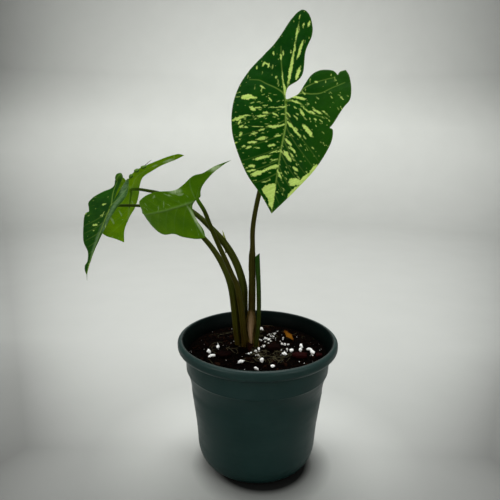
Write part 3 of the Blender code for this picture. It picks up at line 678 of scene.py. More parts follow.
def midrib_path(spec, y):
    """Run, height and slope of the midrib at distances y from the junction along the blade."""
    steps = np.linspace(-80 * MM, 100 * MM, 721)
    bend = np.where(steps > 0, per_metre(spec["droop"]), per_metre(spec["back"]))
    bend = np.where(steps > spec["hook_from"] * MM, per_metre(spec["hook"]), bend)
    step = steps[1] - steps[0]
    slope = -np.cumsum(bend) * step
    run = np.cumsum(np.cos(slope)) * step
    height = np.cumsum(np.sin(slope)) * step
    turn, run0, height0 = [np.interp(0.0, steps, values) for values in (slope, run, height)]
    run, height = run - run0, height - height0
    run, height = run * cos(turn) + height * sin(turn), height * cos(turn) - run * sin(turn)
    return [np.interp(y, steps, values) for values in (run, height, slope - turn)]


def arc_run(start, curvature, length):
    bent = np.where(np.abs(curvature) < 1e-6, 1e-6, curvature)
    run = (np.sin(start) - np.sin(start - bent * length)) / bent
    rise = (np.cos(start - bent * length) - np.cos(start)) / bent
    return run, rise


def bend_blade(flat, spec):
    """Local points of the blade's mid surface for flat points in metres."""
    x, y = flat[:, 0], flat[:, 1]
    rib = np.array(spec["midrib"]) * MM
    middle = np.interp(y, rib[:, 0], rib[:, 1])
    off = x - middle
    right = off > 0
    fade = smoothstep(*spec.get("fade", FOLD_FADE), y)
    fold = np.where(right, radians(spec["fold"][0]), radians(spec["fold"][1])) * fade
    curl = np.where(right, per_metre(spec["curl"][0]), per_metre(spec["curl"][1]))
    across, rise = arc_run(fold, curl, np.abs(off))
    run, height, slope = midrib_path(spec, y)
    return np.stack(
        [middle + across * np.sign(off), run - np.sin(slope) * rise, height + np.cos(slope) * rise],
        axis=1,
    )


def inside_all(points, polygon):
    """Which flat points lie inside a closed polygon."""
    count = np.zeros(len(points), int)
    x, y = points[:, 0], points[:, 1]
    for a, b in zip(polygon, np.roll(polygon, -1, axis=0)):
        if a[1] == b[1]:
            continue
        crosses = (a[1] > y) != (b[1] > y)
        count += crosses & (a[0] + (y - a[1]) / (b[1] - a[1]) * (b[0] - a[0]) > x)
    return count % 2 == 1


def margin_distance(points, margin):
    away = np.full(len(points), 1e9)
    for start in range(0, len(points), 4000):
        part = points[start : start + 4000]
        gaps = np.linalg.norm(part[:, None, :] - margin[None, :, :], axis=2)
        away[start : start + 4000] = gaps.min(axis=1)
    return away


def blade_sheet(spec):
    line = catmull_rom(np.array(spec["outline"]) * MM, closed=True, corners=spec["corners"])
    margin = evenly_spaced(np.vstack([line, line[:1]]), CELL)[:-1]
    low, high = margin.min(axis=0), margin.max(axis=0)
    grid = []
    for k, y in enumerate(np.arange(low[1], high[1], CELL * ROW_GAP)):
        x = np.arange(low[0] + 0.5 * CELL * (k % 2), high[0], CELL)
        grid.append(np.column_stack([x, np.full(len(x), y)]))
    grid = np.concatenate(grid)
    grid = grid[inside_all(grid, margin)]
    grid = grid[margin_distance(grid, margin) > 0.55 * CELL]
    count = len(margin)
    points = np.concatenate([margin, grid])
    edges = [(i, (i + 1) % count) for i in range(count)]
    result = geometry.delaunay_2d_cdt([Vector(p) for p in points], edges, [], 1, 1e-9)
    flat = np.array([tuple(p) for p in result[0]])
    return flat, np.array(result[2]), margin


def vein_lines(spec, veins, margin):
    """The midrib, side veins and basal veins as flat lines in metres, with their widths."""
    rib = np.array([(x, y) for y, x in spec["midrib"]]) * MM
    lines = [("midrib", rib)]
    start, end, step = veins["laterals"]
    at = start
    while at < end:
        for side in (1, -1):
            lead = veins["lead"][0 if side > 0 else 1]
            offset = 0.45 * step if side < 0 else 0.0
            y = (at + offset) * MM
            points = [np.array((np.interp(y, rib[:, 1], rib[:, 0]), y))]
            for share in np.arange(26) / 25:
                angle = radians(lead + 22 * (1 - share) ** 3 + 14 * share**2)
                points.append(points[-1] + 1.8 * MM * np.array((side * cos(angle), sin(angle))))
            points = np.array(points)
            within = inside_all(points[1:], margin)
            stop = 1 + (int(np.argmin(within)) if not within.all() else len(within))
            if stop > 3:
                lines.append(("lateral", points[:stop]))
        at += step
    for line in veins["basal"]:
        lines.append(("basal", catmull_rom(np.array(line, float) * MM, closed=False)))
    return lines


def turned(dx, dy, turn):
    """Distances along and across a line that is turned by so many degrees."""
    a = radians(turn)
    return dx * cos(a) + dy * sin(a), dy * cos(a) - dx * sin(a)


def oval_mask(flat, oval, wobble):
    x, y, length, width, turn = oval
    dx, dy = flat[:, 0] / MM - x, flat[:, 1] / MM - y
    near = (np.abs(dx) < length + 3) & (np.abs(dy) < length + 3)
    mask = np.zeros(len(flat))
    u, v = turned(dx[near], dy[near], turn)
    u, v = u + 0.9 * wobble[0][near], v + 0.42 * wobble[1][near]
    reach = np.sqrt((u / length) ** 2 + (v / (PATCH_WIDTH * width)) ** 2) + 0.25 * wobble[2][near]
    soft = min(0.45, 0.2 / width)
    mask[near] = 1 - smoothstep(1 - soft, 1 + soft, reach)
    return mask


def blade_marks(name, spec, flat, lines, margin):
    """Per point: variegation, vein, and what the veins do to the surface."""
    rng = np.random.default_rng(len(name))
    marks = {key: np.zeros(len(flat)) for key in ("pale", "vein", "pucker", "under", "sink")}
    wobble_points = np.column_stack([flat, np.zeros(len(flat))])
    wobble = [fractal(wobble_points, size, 3, size) for size in (2.2, 1.5, 0.9)]
    side_gap = np.full(len(flat), 1e9)
    for kind, line in lines:
        away, along = nearest(flat, line)
        width, rise, shown = VEIN_KINDS[kind]
        taper = 1 - 0.75 * along
        reach = away / MM / (width * (0.45 + 0.55 * taper))
        bell = np.exp(-(reach**2))
        marks["under"] = np.maximum(marks["under"], rise * taper * bell)
        groove = 0.12 * MM * taper * np.exp(-((0.7 * reach) ** 2))
        marks["sink"] = np.maximum(marks["sink"], groove)
        colour = shown * (0.35 + 0.65 * taper) * np.exp(-((1.25 * reach) ** 2))
        marks["vein"] = np.maximum(marks["vein"], colour)
        side_gap = np.minimum(side_gap, away / MM)
    marks["pucker"] = PUCKER * smoothstep(0.0, 4.2, side_gap) * 0.9
    for oval in OVALS[name]:
        marks["pale"] = np.maximum(marks["pale"], oval_mask(flat, oval, wobble))
    for area in AREAS.get(name, ()):
        shifted = flat + 0.6 * MM * np.stack(wobble[:2], axis=1)
        marks["pale"] = np.maximum(marks["pale"], inside_all(shifted, np.array(area) * MM))
    rib = np.array(spec["midrib"]) * MM
    veins = VEINS[name]
    for _ in range(FLECKS[name]):
        x, y = flat[rng.integers(len(flat))] / MM
        side = x > np.interp(y * MM, rib[:, 0], rib[:, 1]) / MM
        lead = veins["lead"][0] if side else 180 - veins["lead"][1]
        if y < -6:
            lead = 92.0
            if rng.random() < 0.6:
                continue
        size = 0.35 + 0.9 * rng.random() ** 3
        length = size * (0.8 + 1.0 * rng.random())
        oval = (x, y, length, 0.42 * size * (0.7 + 0.6 * rng.random()), lead)
        strength = 0.35 + 0.65 * rng.random()
        marks["pale"] = np.maximum(marks["pale"], strength * oval_mask(flat, oval, wobble))
    return marks


# Rolled-over stretches of margin, where the darker face shows: x, y and half sizes in mm.
ROLLS = {
    "upper_leaf_blade": ((-1.5, -9.5, 1.9, 1.6), (2.6, -13.6, 2.2, 1.5), (7.6, -16.2, 2.4, 1.2)),
    "lower_leaf_blade": ((4.6, -19.4, 3.6, 3.0),),
}
ROLL_HEIGHT = 1.7 * MM


def rolls_of(name, flat):
    made = np.zeros(len(flat))
    for x, y, wide, long in ROLLS.get(name, ()):
        reach = np.sqrt(((flat[:, 0] / MM - x) / wide) ** 2 + ((flat[:, 1] / MM - y) / long) ** 2)
        made = np.maximum(made, np.sqrt(np.clip(1 - reach**2, 0, 1)))
    return made


def blade_surface(flat, spec):
    """The bent blade; where two hook starts are given, the +x side starts to hook later."""
    if "hook_to" not in spec:
        return bend_blade(flat, spec)
    share = smoothstep(-8 * MM, 12 * MM, flat[:, 0])[:, None]
    late = dict(spec, hook_from=spec["hook_to"])
    return bend_blade(flat, spec) * (1 - share) + bend_blade(flat, late) * share


def blade_frame(spec):
    angles = (spec["dip"], spec["roll"], spec["heading"] - 90)
    turn = Euler([radians(angle) for angle in angles], "YXZ")
    x, y, height = spec["junction"]
    moved = Matrix.Translation((x * MM, y * MM, (SOIL_TOP + height) * MM))
    return moved @ turn.to_matrix().to_4x4()


def blade_point(name, at, below):
    """Where the flat point at, in mm, comes to lie, so many mm under the blade's middle; in mm."""
    spec = BLADES[name]
    flat = np.array([at], float) * MM
    local = blade_surface(flat, spec) - blade_normals(flat, spec) * below * MM
    return np.array(blade_frame(spec) @ Vector(local[0])) / MM


def rib_point(name, y, below):
    """A point y mm along a blade's midrib and so many mm below it."""
    rib = np.array(BLADES[name]["midrib"])
    return blade_point(name, (np.interp(y, rib[:, 0], rib[:, 1]), y), below)


def blade_normals(flat, spec):
    step = 0.05 * MM
    ahead = blade_surface(flat + (0, step), spec) - blade_surface(flat - (0, step), spec)
    across = blade_surface(flat + (step, 0), spec) - blade_surface(flat - (step, 0), spec)
    normals = np.cross(across, ahead)
    return normals / np.linalg.norm(normals, axis=1)[:, None]


def make_blade(name, spec):
    flat, triangles, margin = blade_sheet(spec)
    lines = vein_lines(spec, VEINS[name], margin)
    marks = blade_marks(name, spec, flat, lines, margin)
    edge = margin_distance(flat, margin)
    middle = blade_surface(flat, spec)
    normals = blade_normals(flat, spec)
    roll = rolls_of(name, flat)
    inner = smoothstep(0.0, 1.4 * MM, edge)
    ripple = 0.35 * MM * fractal(middle, 16, 2, 3) + 0.12 * MM * fractal(middle, 5, 2, 4)
    swell = marks["pucker"] * inner + ripple
    half = 0.5 * THICKNESS * (0.35 + 0.65 * smoothstep(0.0, 0.9 * MM, edge))
    half = half + ROLL_HEIGHT * roll
    top = middle + normals * (swell + half - marks["sink"] * inner)[:, None]
    bottom = middle + normals * (swell - half - marks["under"] * inner)[:, None]
    count = len(flat)
    faces = [tuple(t) for t in triangles] + [tuple(t[::-1] + count) for t in triangles]
    slots = [0] * len(triangles) + [1] * len(triangles)
    used = {}
    for a, b, c in triangles:
        for edge_pair in ((a, b), (b, c), (c, a)):
            used[edge_pair] = used.get(edge_pair, 0) + 1
    for a, b in used:
        if (b, a) not in used:
            faces.append((b, a, a + count, b + count))
            slots.append(0)
    placed = blade_frame(spec)
    points = np.concatenate([top, bottom])
    points = points @ np.array(placed.to_3x3()).T + np.array(placed.translation)
    blade = add_mesh(name + "_detailed", points, faces, BLADE_LOOKS[name], slots)
    doubled = np.concatenate([flat, flat])
    attribute(blade, "flat", np.column_stack([doubled, np.zeros(2 * count)]))
    attribute(blade, "pale", np.tile(marks["pale"], 2))
    attribute(blade, "vein", np.tile(marks["vein"], 2))
    attribute(blade, "edge", np.tile(1 - smoothstep(0.15 * MM, 0.7 * MM, edge), 2))
    rib = np.array(spec["midrib"]) * MM
    off = flat[:, 0] - np.interp(flat[:, 1], rib[:, 0], rib[:, 1])
    side = np.maximum(smoothstep(6 * MM, 30 * MM, -off), 0.9 * smoothstep(0.0, 0.5, roll))
    attribute(blade, "side", np.tile(side, 2))
    # painted sheen spots, stored for both faces
    attribute(blade, "painted_sheen", np.tile(painted_sheen_of(name, flat), 2))
    slot = next(s["material_slot"] for s in frame["record"]["subparts"] if s["node"] == name)
    return place(blade, slot, name)


# Painted sheen on the blades: whitish streaky spots, each x, y, half length, half width in mm, and
# turn.
PAINTED_SHEEN_SPOTS = {
    "middle_leaf_blade": ((13, 8.6, 13, 1.3, 4), (-9.5, 11, 5, 2.4, 100), (-15, -24, 10, 3.0, 110)),
    "upper_leaf_blade": ((28, -21, 4, 1.4, 160),),
    "lower_leaf_blade": ((-7, 4, 20, 5, 80), (-6, -14, 9, 4, 110), (0.5, 28, 16, 1.6, 92)),
}


def painted_sheen_of(name, flat):
    made = np.zeros(len(flat))
    for x, y, length, width, turn in PAINTED_SHEEN_SPOTS.get(name, ()):
        along, across = turned(flat[:, 0] / MM - x, flat[:, 1] / MM - y, turn)
        reach = np.sqrt((along / length) ** 2 + (across / width) ** 2)
        made = np.maximum(made, 1 - smoothstep(0.3, 1.2, reach))
    return made


# ---- petioles --------------------------------------------------------------------------
# Rows are x, y, height above the potting mix and radius, in mm, foot first. sheath is the height
# where the sheath's edges end, and facing is the side that they open to, in degrees.
PETIOLES = {
    "tall_petiole": dict(
        look=STEM_OLIVE, sheath=84, facing=-70, rows=(
            (-4.6, 7, -12, 2.2), (-4.6, 7, 0, 2.7), (-4.7, 7, 12, 2.7), (-4.5, 7, 27, 2.6),
            (-4.4, 7, 50, 2.4), (-4.6, 7, 65, 2.3), (-4.4, 7, 72, 1.75), (-4.4, 7, 84, 1.65),
            (-3, 7.5, 95.5, 1.6), (-0.2, 8.5, 109.5, 1.6), (4.5, 10.5, 129, 1.5),
            (10, 11.5, 149, 1.4), (15.9, 7.7, 166.7, 1.3),
        ),
    ),
    "middle_petiole": dict(
        look=STEM_OLIVE, sheath=40, facing=-110, rows=(
            (-8.8, 3.8, -12, 1.5), (-8.9, 3.8, 0, 2.1), (-9.9, 3.4, 12, 2.2), (-11.5, 2.6, 28, 2.2),
            (-14.2, 0.5, 45.5, 1.9), (-17.5, -1.5, 54.3, 1.6), (-21.4, -4, 64.2, 1.6),
            (-27.2, -9, 79, 1.5), (-31.2, -14.5, 91, 1.4), (-34, -20, 100.5, 1.3),
            (-36.2, -24.2, 105.3, 1.2), (-38.4, -26.5, 106.9, 1.1),
        ),
    ),
    "upper_petiole": dict(
        look=STEM_GREEN, sheath=78, facing=-60, rows=(
            (-10.2, 10.6, -12, 2), (-10.2, 10.6, 0, 2.5), (-9.8, 10.6, 15, 2.5),
            (-10, 10.6, 33, 2.6), (-10.7, 10.8, 43.5, 2.7), (-15, 12, 57.7, 2.6),
            (-22, 14.5, 70, 2.5), (-31, 18, 80, 2.2), (-45.5, 24, 92, 1.7), (-65.5, 31, 103, 1.3),
            (-83, 36, 106.4, 1.1), (-92.5, 36.9, 107, 1),
        ),
    ),
    "lower_petiole": dict(
        look=STEM_GREEN, sheath=50, facing=-100, rows=(
            (-13.9, 6.4, -12, 1.7), (-13.5, 6.4, 0, 2.5), (-14.9, 6.2, 12, 2.6),
            (-16.4, 6, 29, 2.7), (-18.9, 6.2, 44.5, 2.4), (-23.8, 7.2, 57.3, 2.1),
            (-32.4, 9, 71, 1.8), (-46, 11.5, 85, 1.5), (-57.7, 13.5, 93, 1.3), (-71.5, 15, 97, 1.1),
            (-85, 16, 98, 1), (-100.1, 14.1, 98, 0.9),
        ),
    ),
    "cut_petiole": dict(
        look=CUT_LOOK, sheath=30, facing=-90, rows=(
            (-1.2, 3, -12, 1.1), (-1.2, 3, 0, 1.35), (0.1, 3.4, 14, 1.5), (0.5, 3.6, 27, 1.55),
            (0.2, 4, 42, 1.6), (-0.5, 4.4, 57, 1.6), (-1, 4.6, 67, 1.6),
        ),
    ),
}
# How a petiole runs on under its midrib: distance along it in mm, then its depth below the blade
# and its radius as shares of the petiole's end radius.
RUN_ON = ((0.5, 1.15, 1.0), (4.0, 1.0, 0.8), (9.0, 0.8, 0.6), (16.0, 0.55, 0.35))
# The middle petiole runs on beside its midrib, so its rows start with a flat point in mm instead.
SIDE_RUN = (
    ((-1.2, -1.6), 1.1, 1.0), ((-3.2, -3.6), 0.9, 0.8), ((-6.2, -5.4), 0.7, 0.55),
    ((-10.0, -9.5), 0.4, 0.3),
)
RING = 28  # points round a petiole
RING_GAP = 0.9 * MM
SKIN = 3 * MM  # radius that the stripes of the skin are laid out on
SEAM, LIP, LIP_WIDTH = 0.16, 0.42, 0.22  # the sheath's seam and its two edges, in radians
CUT_REACH, CUT_SLANT = 4 * MM, 0.8  # length of the cut end, and its slant in radii
FRESH = (26, 10)  # mm from the blade where the fresh green sets in and is full


def make_petiole(name, spec):
    """A tapering stem with the seam and edges of its sheath, rounded or cut at its end."""
    is_cut = name == "cut_petiole"
    rows = np.array(spec["rows"], float) * MM
    rows[:, 2] += SOIL_TOP * MM
    if not is_cut:
        blade = name.replace("petiole", "leaf_blade")
        end = rows[-1, 3] / MM
        aside = name == "middle_petiole"
        point, run = (blade_point, SIDE_RUN) if aside else (rib_point, RUN_ON)
        run_on = [(*point(blade, at, below * end), end * size) for at, below, size in run]
        rows = np.vstack([rows[:-2] if aside else rows[:-1], np.array(run_on) * MM])
    line = evenly_spaced(catmull_rom(rows, closed=False), RING_GAP)
    total = len(line)
    ahead = np.gradient(line[:, :3], axis=0)
    ahead /= np.linalg.norm(ahead, axis=1)[:, None]
    facing = radians(spec["facing"])
    side = np.array((cos(facing), sin(facing), 0.0))
    height = (line[:, 2] - SOIL_TOP * MM) / MM
    in_sheath = smoothstep(spec["sheath"] + 3, spec["sheath"] - 8, height)
    angles = np.linspace(-pi, pi, RING, endpoint=False)
    east, north = np.cos(angles), np.sin(angles)
    seam = np.exp(-((angles / SEAM) ** 2))
    lips = np.exp(-(((np.abs(angles) - LIP) / LIP_WIDTH) ** 2))
    points, stem = [], []
    for k, forward in enumerate(ahead):
        side = side - forward * (side @ forward)
        side /= np.linalg.norm(side)
        other = np.cross(forward, side)
        keel = 0.05 * np.cos(3 * angles + 0.05 * k)
        thick = line[k, 3]
        radius = thick * (1 + keel * 0.5 + in_sheath[k] * (0.10 * lips - 0.16 * seam))
        end_gap = (total - 1 - k) * RING_GAP
        if not is_cut:
            radius = radius * np.sqrt(np.clip(1 - (1 - min(end_gap / thick, 1)) ** 2, 0.02, 1))
        ring = line[k, :3] + np.outer(east * radius, side) + np.outer(north * radius, other)
        if is_cut and end_gap < CUT_REACH:
            lean = CUT_SLANT * (1 - end_gap / CUT_REACH) * thick
            ring = ring + np.outer(lean * north, forward)
        points.append(ring)
        stem.append(np.stack([east * SKIN, north * SKIN, np.full(RING, k * RING_GAP)], 1))
    points = np.concatenate(points)
    thing = add_mesh(name + "_detailed", points, tube_faces(total, RING), [spec["look"]])
    along = np.arange(total).repeat(RING) / total
    reach = (1 - along) * total * RING_GAP / MM
    attribute(thing, "stem", np.concatenate(stem))
    attribute(thing, "along", along)
    attribute(thing, "pale", np.zeros(len(points)))
    attribute(thing, "fresh", 0.9 * smoothstep(*FRESH, reach) * (not is_cut))
    thing.data.set_sharp_from_angle(angle=radians(50))
    return place(thing, "cut_stem" if is_cut else "petiole_skin", name)


def make_tongue(name, foot, tip, width, look, pale, slot):
    """A thin pointed sheath end: a curved sliver from foot to tip, in mm."""
    a, b = np.array(foot) * MM, np.array(tip) * MM
    a[2] += SOIL_TOP * MM
    b[2] += SOIL_TOP * MM
    rows, columns = 14, 7
    forward = b - a
    side = np.cross(forward, (0, 1, 0.15))
    side /= np.linalg.norm(side)
    out = np.cross(side, forward)
    out /= np.linalg.norm(out)
    points, along = [], []
    for layer in (0.5, -0.5):
        for share in np.arange(rows) / (rows - 1):
            half = 0.5 * width * MM * (1 - share**1.6) + 0.05 * MM
            bow = 0.08 * np.linalg.norm(forward) * sin(pi * share)
            skin = layer * 0.28 * MM * (1 - 0.6 * share)
            for c in range(columns):
                across = 2 * c / (columns - 1) - 1
                cup = 0.5 * half * (1 - across**2)
                points.append(a + forward * share + side * half * across + out * (cup + bow + skin))
                along.append(0.3 + 0.7 * share)
    thing = close_sheet(name, points, rows, columns, look)
    attribute(thing, "stem", np.array(points))
    attribute(thing, "along", along)
    attribute(thing, "pale", np.array(along) * pale)
    attribute(thing, "fresh", np.zeros(len(points)))
    attribute(thing, "tone", np.zeros(len(points)))
    return place(thing, slot)


SHEATH_TOP = 27.5
# Height of the dry sheath's outline and its half width there, in degrees round the petiole.
SHEATH_REACH = (
    (0, 12), (4, 15), (9, 22), (15, 36), (21, 48), (25, 46), (27.5, 12),
)


def make_sheath():
    """The dry sheath at the foot: a papery strip wrapped round the tall petiole's front."""
    foot = np.array(PETIOLES["tall_petiole"]["rows"][1][:2])
    rows, columns = 60, 26
    points, tone = [], []
    for layer in (0.5, -0.5):
        for height in np.linspace(0.3, SHEATH_TOP, rows):
            reach = np.interp(height, *np.array(SHEATH_REACH).T) * (1 + 0.06 * sin(2.3 * height))
            belly = 0.25 * sin(pi * height / SHEATH_TOP)
            for c in range(columns):
                across = 2 * c / (columns - 1) - 1
                angle = radians(-96 + reach * across + 3 * sin(0.35 * height))
                wave = 0.16 * sin(9 * across + 0.3 * height) + 0.10 * sin(21 * across)
                radius = 3.35 + wave + 0.5 * abs(across) ** 3 + layer * 0.24 + belly
                x, y = foot[0] + radius * cos(angle), foot[1] + radius * sin(angle)
                points.append((x * MM, y * MM, (SOIL_TOP + 1.0 + height) * MM))
                # tone: painted shade towards the sides that turn away round the petiole; also
                # darker towards the top
                tone.append(0.75 * abs(across) ** 2 + 0.95 * (height / SHEATH_TOP) ** 2)
    thing = close_sheet("basal_sheath_detailed", points, rows, columns, SHEATH_LOOK)
    attribute(thing, "tone", np.clip(tone, 0, 1))
    return place(thing, "sheath_skin", "basal_sheath")


def make_thread(name, route, radius):
    """A dark dried thread on a blade's margin; its route in mm above the potting mix."""
    line = evenly_spaced(catmull_rom(route, closed=False), 0.4)
    line[:, 2] += SOIL_TOP
    ahead = np.gradient(line, axis=0)
    points = []
    ring = 8
    for k, (spot, forward) in enumerate(zip(line, ahead)):
        forward = forward / np.linalg.norm(forward)
        side = np.cross(forward, (0, 1, 0))
        side /= np.linalg.norm(side)
        up = np.cross(side, forward)
        thick = radius * (1.15 - 0.75 * k / (len(line) - 1))
        for i in range(ring):
            a = 2 * pi * i / ring
            points.append((spot + thick * (side * cos(a) + up * sin(a))) * MM)
    thread = add_mesh(name, points, tube_faces(len(line), ring), [BARK_DARK_LOOK])
    attribute(thread, "tone", np.zeros(len(points)))
    return place(thread, "leaf_dark")


# ---- pot -------------------------------------------------------------------------------
WALL = 1.6  # mm
LIP_ACROSS, LIP_UNDER = 2.4, 3.4  # radii of the rolled lip's top and of its underside
BASE = (41.8, 18.0)  # radius and height where the rounded base begins
FLOOR = 2.0  # height of the base inside the foot ring
DRAINS, DRAIN_RADIUS, DRAIN_RING = 6, 2.6, 31.6


def pot_sizes():
    low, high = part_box("nursery_pot")
    return high.x, high.z


def arc(centre, radius, start, end, count):
    angles = np.linspace(radians(start), radians(end), count)
    return [(centre[0] + radius * cos(a), centre[1] + radius * sin(a)) for a in angles]


def lathe(profile, steps):
    """Points and faces of a profile of radii and heights, turned round."""
    count = len(profile)
    turns = [2 * pi * k / steps for k in range(steps)]
    points = [(r * cos(a), r * sin(a), z) for a in turns for r, z in profile]
    faces = []
    for k in range(steps):
        n = (k + 1) % steps
        for i in range(count - 1):
            here, there = k * count + i, n * count + i
            faces.append((here, there, there + 1, here + 1))
    return points, faces


def drill_drains(pot):
    cutters = []
    for index in range(DRAINS):
        a = 2 * pi * (index + 0.5) / DRAINS
        radius = DRAIN_RADIUS * MM
        drill = bmesh.new()
        bmesh.ops.create_cone(
            drill, cap_ends=True, segments=28, radius1=radius, radius2=radius, depth=14 * MM
        )
        middle = (DRAIN_RING * MM * cos(a), DRAIN_RING * MM * sin(a), 2 * MM)
        bmesh.ops.translate(drill, verts=drill.verts, vec=middle)
        mesh = bpy.data.meshes.new("drain")
        drill.to_mesh(mesh)
        drill.free()
        cutter = link("drain", mesh)
        cutters.append(cutter)
        hole = pot.modifiers.new("drain", "BOOLEAN")
        hole.object, hole.operation = cutter, "DIFFERENCE"
    bpy.context.view_layer.update()
    drilled = pot.evaluated_get(bpy.context.evaluated_depsgraph_get())
    mesh = bpy.data.meshes.new_from_object(drilled)
    pot.modifiers.clear()
    pot.data = mesh
    for cutter in cutters:
        bpy.data.objects.remove(cutter, do_unlink=True)


def make_pot():
    """The pot, turned from a fine profile: rolled lip, collar, shoulder, rounded base, foot."""
    rim, top = (value / MM for value in pot_sizes())
    collar = rim - 5.0
    under = top - 8.3
    bottom = under - 13.5
    shoulder = (collar - 3.5, bottom - 7.5)
    outer = [(collar, under)]
    outer += arc((collar - 1.4, bottom + 0.9), 0.6, 0, -60, 5)
    for share in np.linspace(0.0, 1.0, 12):
        ease = 1 - (1 - share) ** 2
        outer.append((collar - 1.35 - 2.9 * ease, bottom - 0.1 - 15.4 * share))
    outer += [(BASE[0] + 0.9, BASE[1] + 12.0)]
    for step in range(13):
        angle = 0.5 * pi * step / 12
        radius = BASE[0] - 7.8 * (1 - cos(angle))
        outer.append((radius, FLOOR + (BASE[1] - FLOOR) * (1 - sin(angle))))
    outer += [(28.6, FLOOR), (28.3, 1.7), (28.0, 0.4), (27.7, 0.0)]
    inner = [(32.6, 3.6), (36.0, 5.5), (39.4, 12.0), (40.2, BASE[1]), (BASE[0] - 0.7, 30.0)]
    inner += [(shoulder[0] - WALL, shoulder[1]), (collar - 0.8 - WALL, bottom)]
    inner += [(collar - WALL, under - 3.0), (collar - WALL + 0.2, under)]
    lip = ((4.7, 4.6), (4.0, 2.0), (3.75, 0.9), (3.45, 0.35), (3.0, 0.08))
    inner += [(rim - across, top - down) for across, down in lip]
    lip = arc((rim - LIP_ACROSS, top - LIP_ACROSS), LIP_ACROSS, 90, 0, 10)
    lip += arc((rim - LIP_UNDER, top - 4.0), LIP_UNDER, 0, -72, 9)
    profile = [(x * MM, z * MM) for x, z in inner + lip + outer]
    steps, count = 220, len(profile)
    points, faces = lathe(profile, steps)
    points += [(0, 0, inner[0][1] * MM), (0, 0, 0)]
    for k in range(steps):
        n = (k + 1) % steps
        faces.append((len(points) - 2, n * count, k * count))
        faces.append((len(points) - 1, k * count + count - 1, n * count + count - 1))
    pot = add_mesh("nursery_pot_detailed", points, faces, [POT_LOOK, POT_INSIDE])
    face_outward(pot)
    drill_drains(pot)
    pot.data.shade_smooth()
    pot.data.set_sharp_from_angle(angle=radians(48))
    spots = np.array([tuple(v.co) for v in pot.data.vertices]) / MM
    across = np.hypot(spots[:, 0], spots[:, 1])
    heights = (0, 18, shoulder[1], bottom, under, top)
    middles = (30, 41, 45.7, collar - 1.7, collar - 0.8, rim - 2.6)  # halfway through the wall
    inside = (across < np.interp(spots[:, 2], heights, middles)) & (spots[:, 2] > 3)
    # Painted shade on the inside wall, a little darker deeper down.
    attribute(pot, "painted_inner_shade", inside * (0.85 + 0.15 * smoothstep(top, under - 1, spots[:, 2])))
    for polygon in pot.data.polygons:
        polygon.material_index = int(all(inside[v] for v in polygon.vertices))
    return place(pot, "pot_plastic", "nursery_pot")


# ---- potting mix -----------------------------------------------------------------------
MIX_RADIUS = 47.9 * MM
MIX_SIDES = ((45.0, 62.0), (39.9, 18.0), (32.0, 4.0))  # mm, radii and heights inside the pot


def mix_height(x, y):
    """The smooth height of the potting mix at x and y in metres."""
    share = np.hypot(x, y) / MIX_RADIUS
    return SOIL_TOP * MM + 1.2 * MM * np.interp(share, (0, 0.45, 0.8, 1.0), (1, 1, 0.4, 0))


def mix_relief(points):
    """Crumbly relief of the surface at flat points."""
    coarse = fractal(points, 9, 3, 11)
    fine = fractal(points, 2.4, 4, 12)
    return 0.55 * MM * coarse + 0.5 * MM * np.abs(fine) - 0.2 * MM


def make_mix():
    rings, steps = 72, 300
    points = []
    for r in range(1, rings + 1):
        radius = MIX_RADIUS * r / rings
        for k in range(steps):
            a = 2 * pi * (k + 0.5 * (r % 2)) / steps
            points.append((radius * cos(a), radius * sin(a), 0.0))
    points = np.array(points + [(0.0, 0.0, 0.0)])
    edge = np.hypot(points[:, 0], points[:, 1]) / MIX_RADIUS
    relief = mix_relief(points) * smoothstep(1.0, 0.97, edge)
    points[:, 2] = mix_height(points[:, 0], points[:, 1]) + relief
    centre = len(points) - 1
    faces = [(centre, k, (k + 1) % steps) for k in range(steps)]
    for r in range(rings - 1):
        for k in range(steps):
            n = (k + 1) % steps
            faces.append((r * steps + k, (r + 1) * steps + k, (r + 1) * steps + n, r * steps + n))
    points = [tuple(p) for p in points]
    last = (rings - 1) * steps
    for radius, z in MIX_SIDES:
        start = len(points)
        for k in range(steps):
            a = 2 * pi * (k + 0.5 * (rings % 2)) / steps
            points.append((radius * MM * cos(a), radius * MM * sin(a), z * MM))
        for k in range(steps):
            n = (k + 1) % steps
            faces.append((last + k, start + k, start + n, last + n))
        last = start
    faces.append(tuple(last + k for k in range(steps))[::-1])
    mix = add_mesh("potting_mix_detailed", points, faces, [MIX_LOOK])
    tone = smoothstep(0.1, 0.8, fractal(points[: centre + 1], 3, 3, 21))
    attribute(mix, "tone", np.concatenate([0.35 * tone, np.zeros(len(points) - centre - 1)]))
    return place(mix, "potting_mix", "potting_mix")


def ball(divisions):
    shape = bmesh.new()
    bmesh.ops.create_icosphere(shape, subdivisions=divisions, radius=1.0)
    shape.verts.ensure_lookup_table()
    points = np.array([tuple(v.co) for v in shape.verts])
    faces = np.array([[v.index for v in f.verts] for f in shape.faces])
    shape.free()
    return points, faces


SPREAD, MIX_EDGE = 47.0, 47.2  # mm, how far out grains are scattered and may reach
STEM_FEET = [(np.array(spec["rows"][1][:2]), spec["rows"][1][3]) for spec in PETIOLES.values()]


def clear_of_stems(x, y, gap):
    return all(np.hypot(x - foot[0], y - foot[1]) > radius + gap for foot, radius in STEM_FEET)


